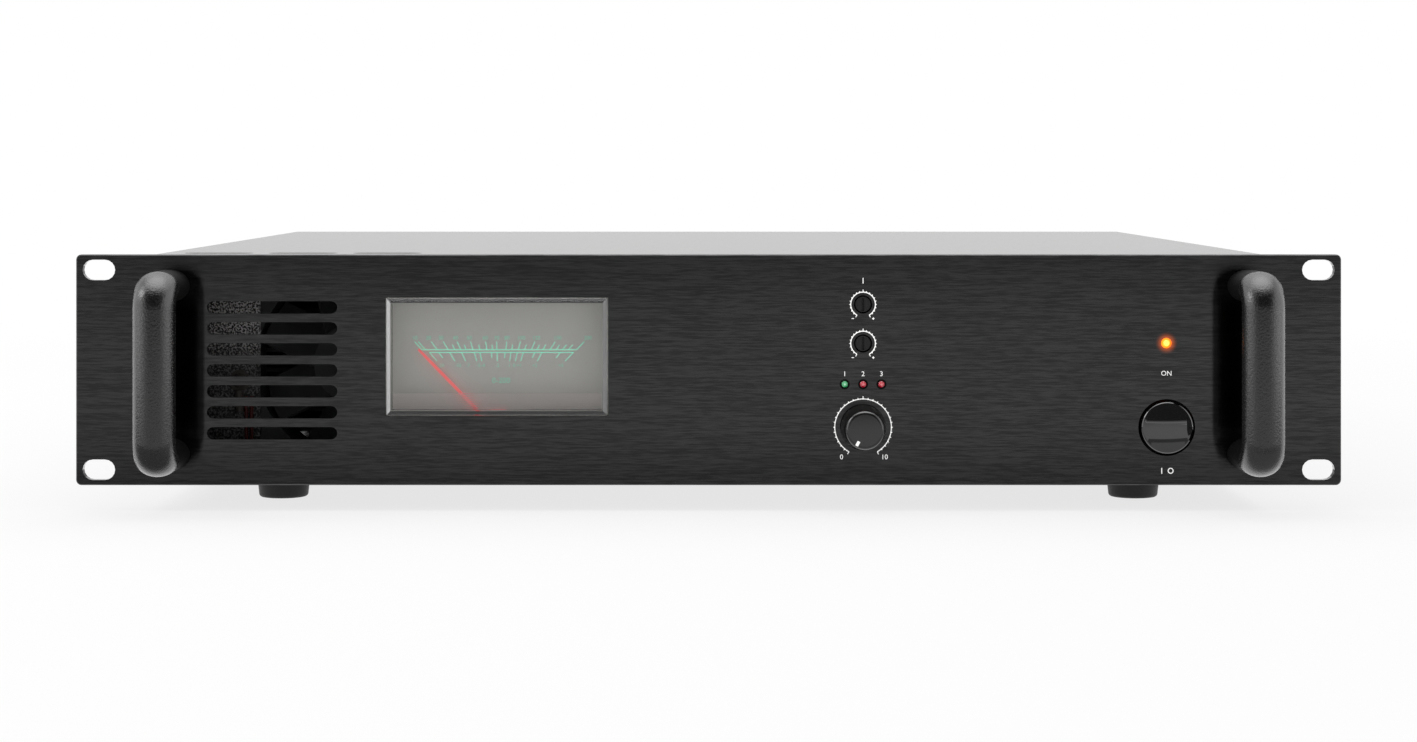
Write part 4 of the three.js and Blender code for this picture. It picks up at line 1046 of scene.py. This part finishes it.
bm = bmesh.new()
bmesh.ops.create_grid(bm, x_segments=1, y_segments=1, size=1, matrix=stood_up(rim_place, *seen_half))
sheet_face = bm.faces[:]
bmesh.ops.inset_region(bm, faces=sheet_face, thickness=rim_wide, use_boundary=True, use_even_offset=True)
bmesh.ops.translate(bm, verts=sheet_face[0].verts, vec=(0, -rim_rise, 0))
bmesh.ops.delete(bm, geom=sheet_face, context="FACES")
bmesh.ops.solidify(bm, geom=bm.faces[:], thickness=rim_thick)
merge(bm)
looks = [grained("window_rim_" + side_name, (grey,) * 3, 0.5, 0.3, 0.004, 0.1, 1.3,
                 glow((1, 1, 1), painted_rim_glows[side_name])) for side_name, grey in painted_rim_greys.items()]
rim = add_piece("window_rim", bm, looks[0], smooth=20)
more_looks(rim, looks[1:], side_of)
print("rim faces", len(rim.data.polygons))

# %% [markdown]
# ## Earth lead behind the vents
# Through the left ends of the vent slots one sees a ring terminal on the inner plate and its leads.
# The ring is a flat profile spun about its screw, and the leads are rods. Both are coloured darker than
# bare tin and red sheath, as painted shade, since they lie in the dark behind the panel.

# %% Earth lead
earth_place = (-184 * mm, 37.5 * mm + panel_foot)
plate_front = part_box("inner_front_plate")[0].y
lead_places = (-181.4 * mm, -179.3 * mm)
ring_outer, ring_inner, ring_thick = 4.2 * mm, 2.2 * mm, 0.8 * mm
crimp_radius, crimp_long, crimp_lap = 1.7 * mm, 8 * mm, 0.4 * mm
lead_radius, lead_from, lead_below, lead_out = 0.7 * mm, 11 * mm, 6 * mm, 1.2 * mm
head_profile = [(0, -2.6 * mm), (1.9 * mm, -2.4 * mm), (3 * mm, -1.2 * mm), (3 * mm, -ring_thick),
                (0, -ring_thick)]


def rod_up(bm, x, y, z_low, z_high, radius, sides=20):
    bmesh.ops.create_cone(bm, cap_ends=True, segments=sides, radius1=radius, radius2=radius,
                          depth=z_high - z_low, matrix=Matrix.Translation((x, y, (z_low + z_high) / 2)))


x, z = earth_place
bm = turned([(ring_inner, -ring_thick), (ring_outer, -ring_thick), (ring_outer, 0), (ring_inner, 0),
             (ring_inner, -ring_thick)], steps=40)
join_into(bm, turned(head_profile, steps=32))
shift(bm, (x, plate_front, z))
crimp_top = z - ring_outer
rod_up(bm, x, plate_front - crimp_radius, crimp_top - crimp_long, crimp_top + crimp_lap, crimp_radius)
add_piece("earth_terminal", bm, painted_shade_tin, smooth=40)
bm = bmesh.new()
for lead_x in lead_places:
    rod_up(bm, lead_x, plate_front - lead_out, panel_foot + lead_from, z - lead_below, lead_radius,
           sides=16)
add_piece("earth_leads", bm, wire_red, smooth=60)
print("earth lead ready")

# %% [markdown]
# ## Dark foam behind the rear vents
# Behind the rear vents stands a pleated sheet of black foam, put there to keep daylight from shining
# through the whole case, so the inside stays in shade. A sheet with every second row pulled back makes it.

# %% Dark foam sheet
filter_x = (-182 * mm, -102 * mm)
filter_z = (6 * mm, 82 * mm)
filter_place, filter_thick = 391 * mm, 0.8 * mm
pleat_deep, pleats = 3 * mm, 26

bm = bmesh.new()
half_x, half_z = (filter_x[1] - filter_x[0]) / 2, (filter_z[1] - filter_z[0]) / 2
filter_middle = (filter_x[0] + half_x, panel_face + filter_place, panel_foot + filter_z[0] + half_z)
bmesh.ops.create_grid(bm, x_segments=2 * pleats, y_segments=1, size=1,
                      matrix=stood_up(filter_middle, half_x, half_z))
for corner in bm.verts:
    step = round((corner.co.x - filter_middle[0] + half_x) / (half_x / pleats))
    corner.co.y += pleat_deep * (step % 2 - 0.5)
bmesh.ops.solidify(bm, geom=bm.faces[:], thickness=filter_thick)
merge(bm)
add_piece("shade_foam_sheet", bm, rubber, smooth=20)
print("filter pleats", pleats)

# %% [markdown]
# ## Screws
# Sheet metal is held by pan-head screws. The head is one spun profile. The recess for the driver is not
# cut: a small dark cross of two bars, sunk into the head but for its top, stands for it as painted shade.
# One function makes a row of screws for any face, and the places are worked out from the panels' own boxes.

# %% Screws
head_radius, head_high, head_steps = 2.9 * mm, 1.5 * mm, 6
cross_long, cross_wide, cross_top_share, cross_foot_share = 3.2 * mm, 0.7 * mm, 1.03, 0.5


def screw_heads(name, places, out, look):
    """Pan heads at (x, y, z) places on faces that look along the unit vector out."""
    heads, crosses = bmesh.new(), bmesh.new()
    turn = Vector((0, -1, 0)).rotation_difference(Vector(out)).to_matrix()
    profile = [(head_radius * aside, head_high * (back - 1)) for aside, back in quarter(1, head_steps)]
    for place in places:
        head, cross = turned([*profile, (0, 0)], steps=24), bmesh.new()
        # Painted shade: a dark cross stands for the driver's recess, which is not cut.
        for wide, long in ((cross_wide, cross_long), (cross_long, cross_wide)):
            add_box(cross, (-wide / 2, -head_high * cross_top_share, -long / 2),
                    (wide / 2, -head_high * cross_foot_share, long / 2))
        for one, all_of_them in ((head, heads), (cross, crosses)):
            bmesh.ops.rotate(one, verts=one.verts, cent=(0, 0, 0), matrix=turn)
            shift(one, place)
            join_into(all_of_them, one)
    add_piece(name, heads, look, smooth=40)
    add_piece(name + "_crosses", crosses, painted_shade_plastic, smooth=40)
    print(name, len(places))


cover_low, cover_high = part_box("top_cover")
rear_low, rear_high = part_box("rear_panel")
side_low, side_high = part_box("side_panel_right")
inset, below_top, above_base, above_side = 14 * mm, 5 * mm, 7 * mm, 6 * mm
third, side_shares = 0.33, (0.08, 0.36, 0.64, 0.92)
screw_heads("cover_rear_screws", [(x, cover_high.y, cover_high.z - below_top) for x in (
    cover_low.x + 2 * inset, 0, cover_high.x - 2 * inset)], (0, 1, 0), zinc)
screw_heads("rear_screws", [(x, rear_high.y, rear_low.z + above_base) for x in (
    rear_low.x + inset, rear_low.x * third, rear_high.x * third, rear_high.x - inset)], (0, 1, 0), zinc)
strip_low, strip_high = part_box("output_terminal_block")
strip_cells, strip_pitch, strip_wall, strip_barrier = 5, 11 * mm, 2 * mm, 8 * mm
screw_heads("terminal_screws", [
    (strip_low.x + strip_wall / 2 + (index + 0.5) * strip_pitch, strip_high.y - strip_barrier,
     (strip_low.z + strip_high.z) / 2) for index in range(strip_cells)], (0, 1, 0), brass)
for side_name, sign in (("left", -1), ("right", 1)):
    screw_heads("side_screws_" + side_name, [
        (sign * side_high.x, side_low.y + share * (side_high.y - side_low.y), side_low.z + above_side)
        for share in side_shares], (sign, 0, 0), zinc)

# %% [markdown]
# ## Ink
# The scales and marks are screen printed: a film of ink a few hundredths of a millimetre thick. Modelled
# as real thin shapes, they stay crisp at any distance. Strokes are bars, rings are a small rectangle
# spun about the ring's middle, and figures come from a text object that is made a mesh. All of them are
# drawn on a flat sheet of (x, z) points whose ink faces the front.

# %% Ink helpers
ink_thick = 0.03 * mm
figure_cap_share = 0.72
ring_steps_least, degrees_per_step = 8, 4


def stroke(bm, start, end, width):
    start, end = Vector(start), Vector(end)
    along = end - start
    place = (start + end) / 2
    turn = Matrix.Rotation(-math.atan2(along.y, along.x), 4, "Y")
    grow = Matrix.Diagonal((along.length, ink_thick, width, 1))
    bmesh.ops.create_cube(bm, size=1, matrix=Matrix.Translation((place.x, 0, place.y)) @ turn @ grow)


def around(centre, radius, degrees):
    """A point on a ring, counted clockwise from the top."""
    angle = math.radians(degrees)
    return (centre[0] + radius * math.sin(angle), centre[1] + radius * math.cos(angle))


def ring(bm, centre, radius, width, start, end):
    """An arc of ink from one clock angle to another, in degrees."""
    sheet = bmesh.new()
    half = ink_thick / 2
    corners = [sheet.verts.new((0, y, radius + side * width / 2))
               for y, side in ((-half, -1), (half, -1), (half, 1), (-half, 1))]
    face = sheet.faces.new(corners)
    spin_from = Matrix.Rotation(math.radians(start), 3, "Y")
    bmesh.ops.rotate(sheet, verts=corners, cent=(0, 0, 0), matrix=spin_from)
    bmesh.ops.spin(sheet, geom=[face], cent=(0, 0, 0), axis=(0, 1, 0),
                   angle=math.radians(end - start),
                   steps=max(ring_steps_least, int((end - start) / degrees_per_step)))
    shift(sheet, (centre[0], 0, centre[1]))
    merge(sheet)
    join_into(bm, sheet)


def figures(bm, text, place, height):
    curve = bpy.data.curves.new("figures", "FONT")
    curve.body = text
    curve.size = height / figure_cap_share
    curve.extrude = ink_thick / 2
    curve.align_x = curve.align_y = "CENTER"
    curve.resolution_u = 3
    holder = bpy.data.objects.new("figures", curve)
    scene.collection.objects.link(holder)
    mesh = bpy.data.meshes.new_from_object(holder)
    mesh.transform(stood_up((place[0], 0, place[1])))
    bm.from_mesh(mesh)
    bpy.data.meshes.remove(mesh)
    bpy.data.objects.remove(holder)
    bpy.data.curves.remove(curve)


print("ink helpers ready")

# %% [markdown]
# ## Marks on the panel
# Each trimmer and the volume knob has a ring with small ticks, from seven o'clock round to five. The
# trimmers carry a minus and a plus, the volume ring its lowest and highest figure, the lamp a plain ON,
# and the button the usual line and circle for on and off.

# %% Panel print
control_x, volume_z = middle("volume_knob").x, middle("volume_knob").z
treble_z, bass_z = middle("treble_trim").z, middle("bass_trim").z
lamp_place, led_z = middle("led_power"), middle("led_peak").z
sweep = 150
ring_line, sign_line, mark_line = 0.38 * mm, 0.28 * mm, 0.34 * mm
trim_ring, trim_tick, trim_pitch = 4.7 * mm, 0.5 * mm, 15
volume_ring, volume_tick, volume_pitch = 10.8 * mm, 0.55 * mm, 10
long_tick_share, tick_line_share = 1.9, 0.8
sign_aside, sign_down, sign_half = 3.9 * mm, 5.4 * mm, 0.45 * mm
figure_high, heading_high = 1.9 * mm, 2.3 * mm
volume_figure_aside, volume_figure_down = 8.2 * mm, 11.4 * mm
number_up, heading_up, on_down = 3.9 * mm, 8.9 * mm, 11.6 * mm
marks_down, line_left, circle_right = 16.5 * mm, 1.9 * mm, 1.5 * mm
line_half, circle_radius = 1.1 * mm, 0.95 * mm

ink = bmesh.new()


def scale_ring(centre, radius, tick, pitch):
    ring(ink, centre, radius, ring_line, -sweep, sweep)
    for degrees in range(-sweep, sweep + 1, pitch):
        reach = tick * (long_tick_share if degrees in (-sweep, 0, sweep) else 1)
        stroke(ink, around(centre, radius, degrees), around(centre, radius + reach, degrees),
               ring_line * tick_line_share)


for z in (treble_z, bass_z):
    scale_ring((control_x, z), trim_ring, trim_tick, trim_pitch)
    sign_z = z - sign_down
    for side, upright_too in ((-1, False), (1, True)):
        x = control_x + side * sign_aside
        stroke(ink, (x - sign_half, sign_z), (x + sign_half, sign_z), sign_line)
        if upright_too:
            stroke(ink, (x, sign_z - sign_half), (x, sign_z + sign_half), sign_line)
scale_ring((control_x, volume_z), volume_ring, volume_tick, volume_pitch)
for side, text in ((-1, "0"), (1, "10")):
    figures(ink, text, (control_x + side * volume_figure_aside, volume_z - volume_figure_down), figure_high)
for index, node in enumerate(small_lamps):
    figures(ink, str(index + 1), (middle(node).x, led_z + number_up), figure_high)
figures(ink, "1", (control_x, treble_z + heading_up), heading_high)
figures(ink, "ON", (lamp_place.x, lamp_place.z - on_down), figure_high)
mark_z = button_middle.z - marks_down
line_x, circle_x = button_middle.x - line_left, button_middle.x + circle_right
stroke(ink, (line_x, mark_z - line_half), (line_x, mark_z + line_half), mark_line)
ring(ink, (circle_x, mark_z), circle_radius, mark_line, 0, 360)
merge(ink)
shift(ink, (0, panel_face - ink_thick / 2, 0))
print_piece = add_piece("panel_print", ink, white_ink)
print("print faces", len(print_piece.data.polygons))

# %% [markdown]
# ## Dial print
# Two green scales share the dial. Their ticks all point at the needle's pivot below the window, so each
# tick follows from one number, the place of its top along the scale. The figures are plain numbers, the
# first of the upper scale left out where the two scales' ends run together.

# %% Dial scales
dial_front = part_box("meter_dial")[0].y
upper_line, lower_line = 2.06 * mm, 1.03 * mm
upper_top, minor_top = 5.2 * mm, 4.0 * mm
lower_end, lower_minor = -2.3 * mm, -1.1 * mm
dial_line = 0.27 * mm
upper_figure_z, lower_figure_z = 6.6 * mm, -4.0 * mm
upper_figure_high, lower_figure_high, range_high = 1.5 * mm, 1.4 * mm, 2.2 * mm
range_place = (meter_middle.x + 1 * mm, meter_middle.z - 9.8 * mm)
pivot_drop = meter_middle.z - middle("meter_movement").z
half_scale = 33 * mm
upper_shares = [-0.979, -0.936, -0.785, -0.645, -0.483, -0.327, -0.15, -0.021, 0.094, 0.255, 0.423,
                0.661, 1]
upper_figures = [0, 10, 20, 30, 40, 50, 60, 70, 80, 100, 120, 150, 200]
minor_shares = [-0.558, -0.415, -0.239, -0.079, 0.17, 0.336, 0.494, 0.57, 0.739, 0.821, 0.897]
lower_shares = [-0.916, -0.649, -0.491, -0.323, -0.248, -0.019, 0.165, 0.25, 0.33, 0.577, 0.993]
lower_minor_shares = [-0.793, -0.094, 0.087, 0.481, 0.82]
lower_figures = ["-20", "-10", "-7", "-5", "-4", "-2", "-1", "0", "+1", "+2", "+3"]

dial_ink = bmesh.new()
dial_figures = bmesh.new()


def toward_pivot(share, z):
    """The point at height z on the line to the pivot from the top that lies so far along the scale."""
    narrowed = (z + pivot_drop) / (upper_top + pivot_drop)
    return (meter_middle.x + share * half_scale * narrowed, meter_middle.z + z)


for shares, start, end in ((upper_shares, upper_line, upper_top), (minor_shares, upper_line, minor_top),
                           (lower_shares, lower_line, lower_end),
                           (lower_minor_shares, lower_line, lower_minor)):
    for share in shares:
        stroke(dial_ink, toward_pivot(share, start), toward_pivot(share, end), dial_line)
for line_z, shares in ((upper_line, upper_shares), (lower_line, lower_shares)):
    stroke(dial_ink, toward_pivot(shares[0], line_z), toward_pivot(shares[-1], line_z), dial_line)
for share, number in list(zip(upper_shares, upper_figures))[1:]:
    figures(dial_figures, str(number), toward_pivot(share, upper_figure_z), upper_figure_high)
for share, number in zip(lower_shares, lower_figures):
    figures(dial_figures, number, toward_pivot(share, lower_figure_z), lower_figure_high)
figures(dial_figures, "0-200", range_place, range_high)
for name, sheet, look in (("dial_print", dial_ink, green_ink), ("dial_figures", dial_figures, faint_ink)):
    merge(sheet)
    shift(sheet, (0, dial_front - ink_thick / 2, 0))
    add_piece(name, sheet, look)
print("dial ticks", len(upper_shares + minor_shares + lower_shares + lower_minor_shares))
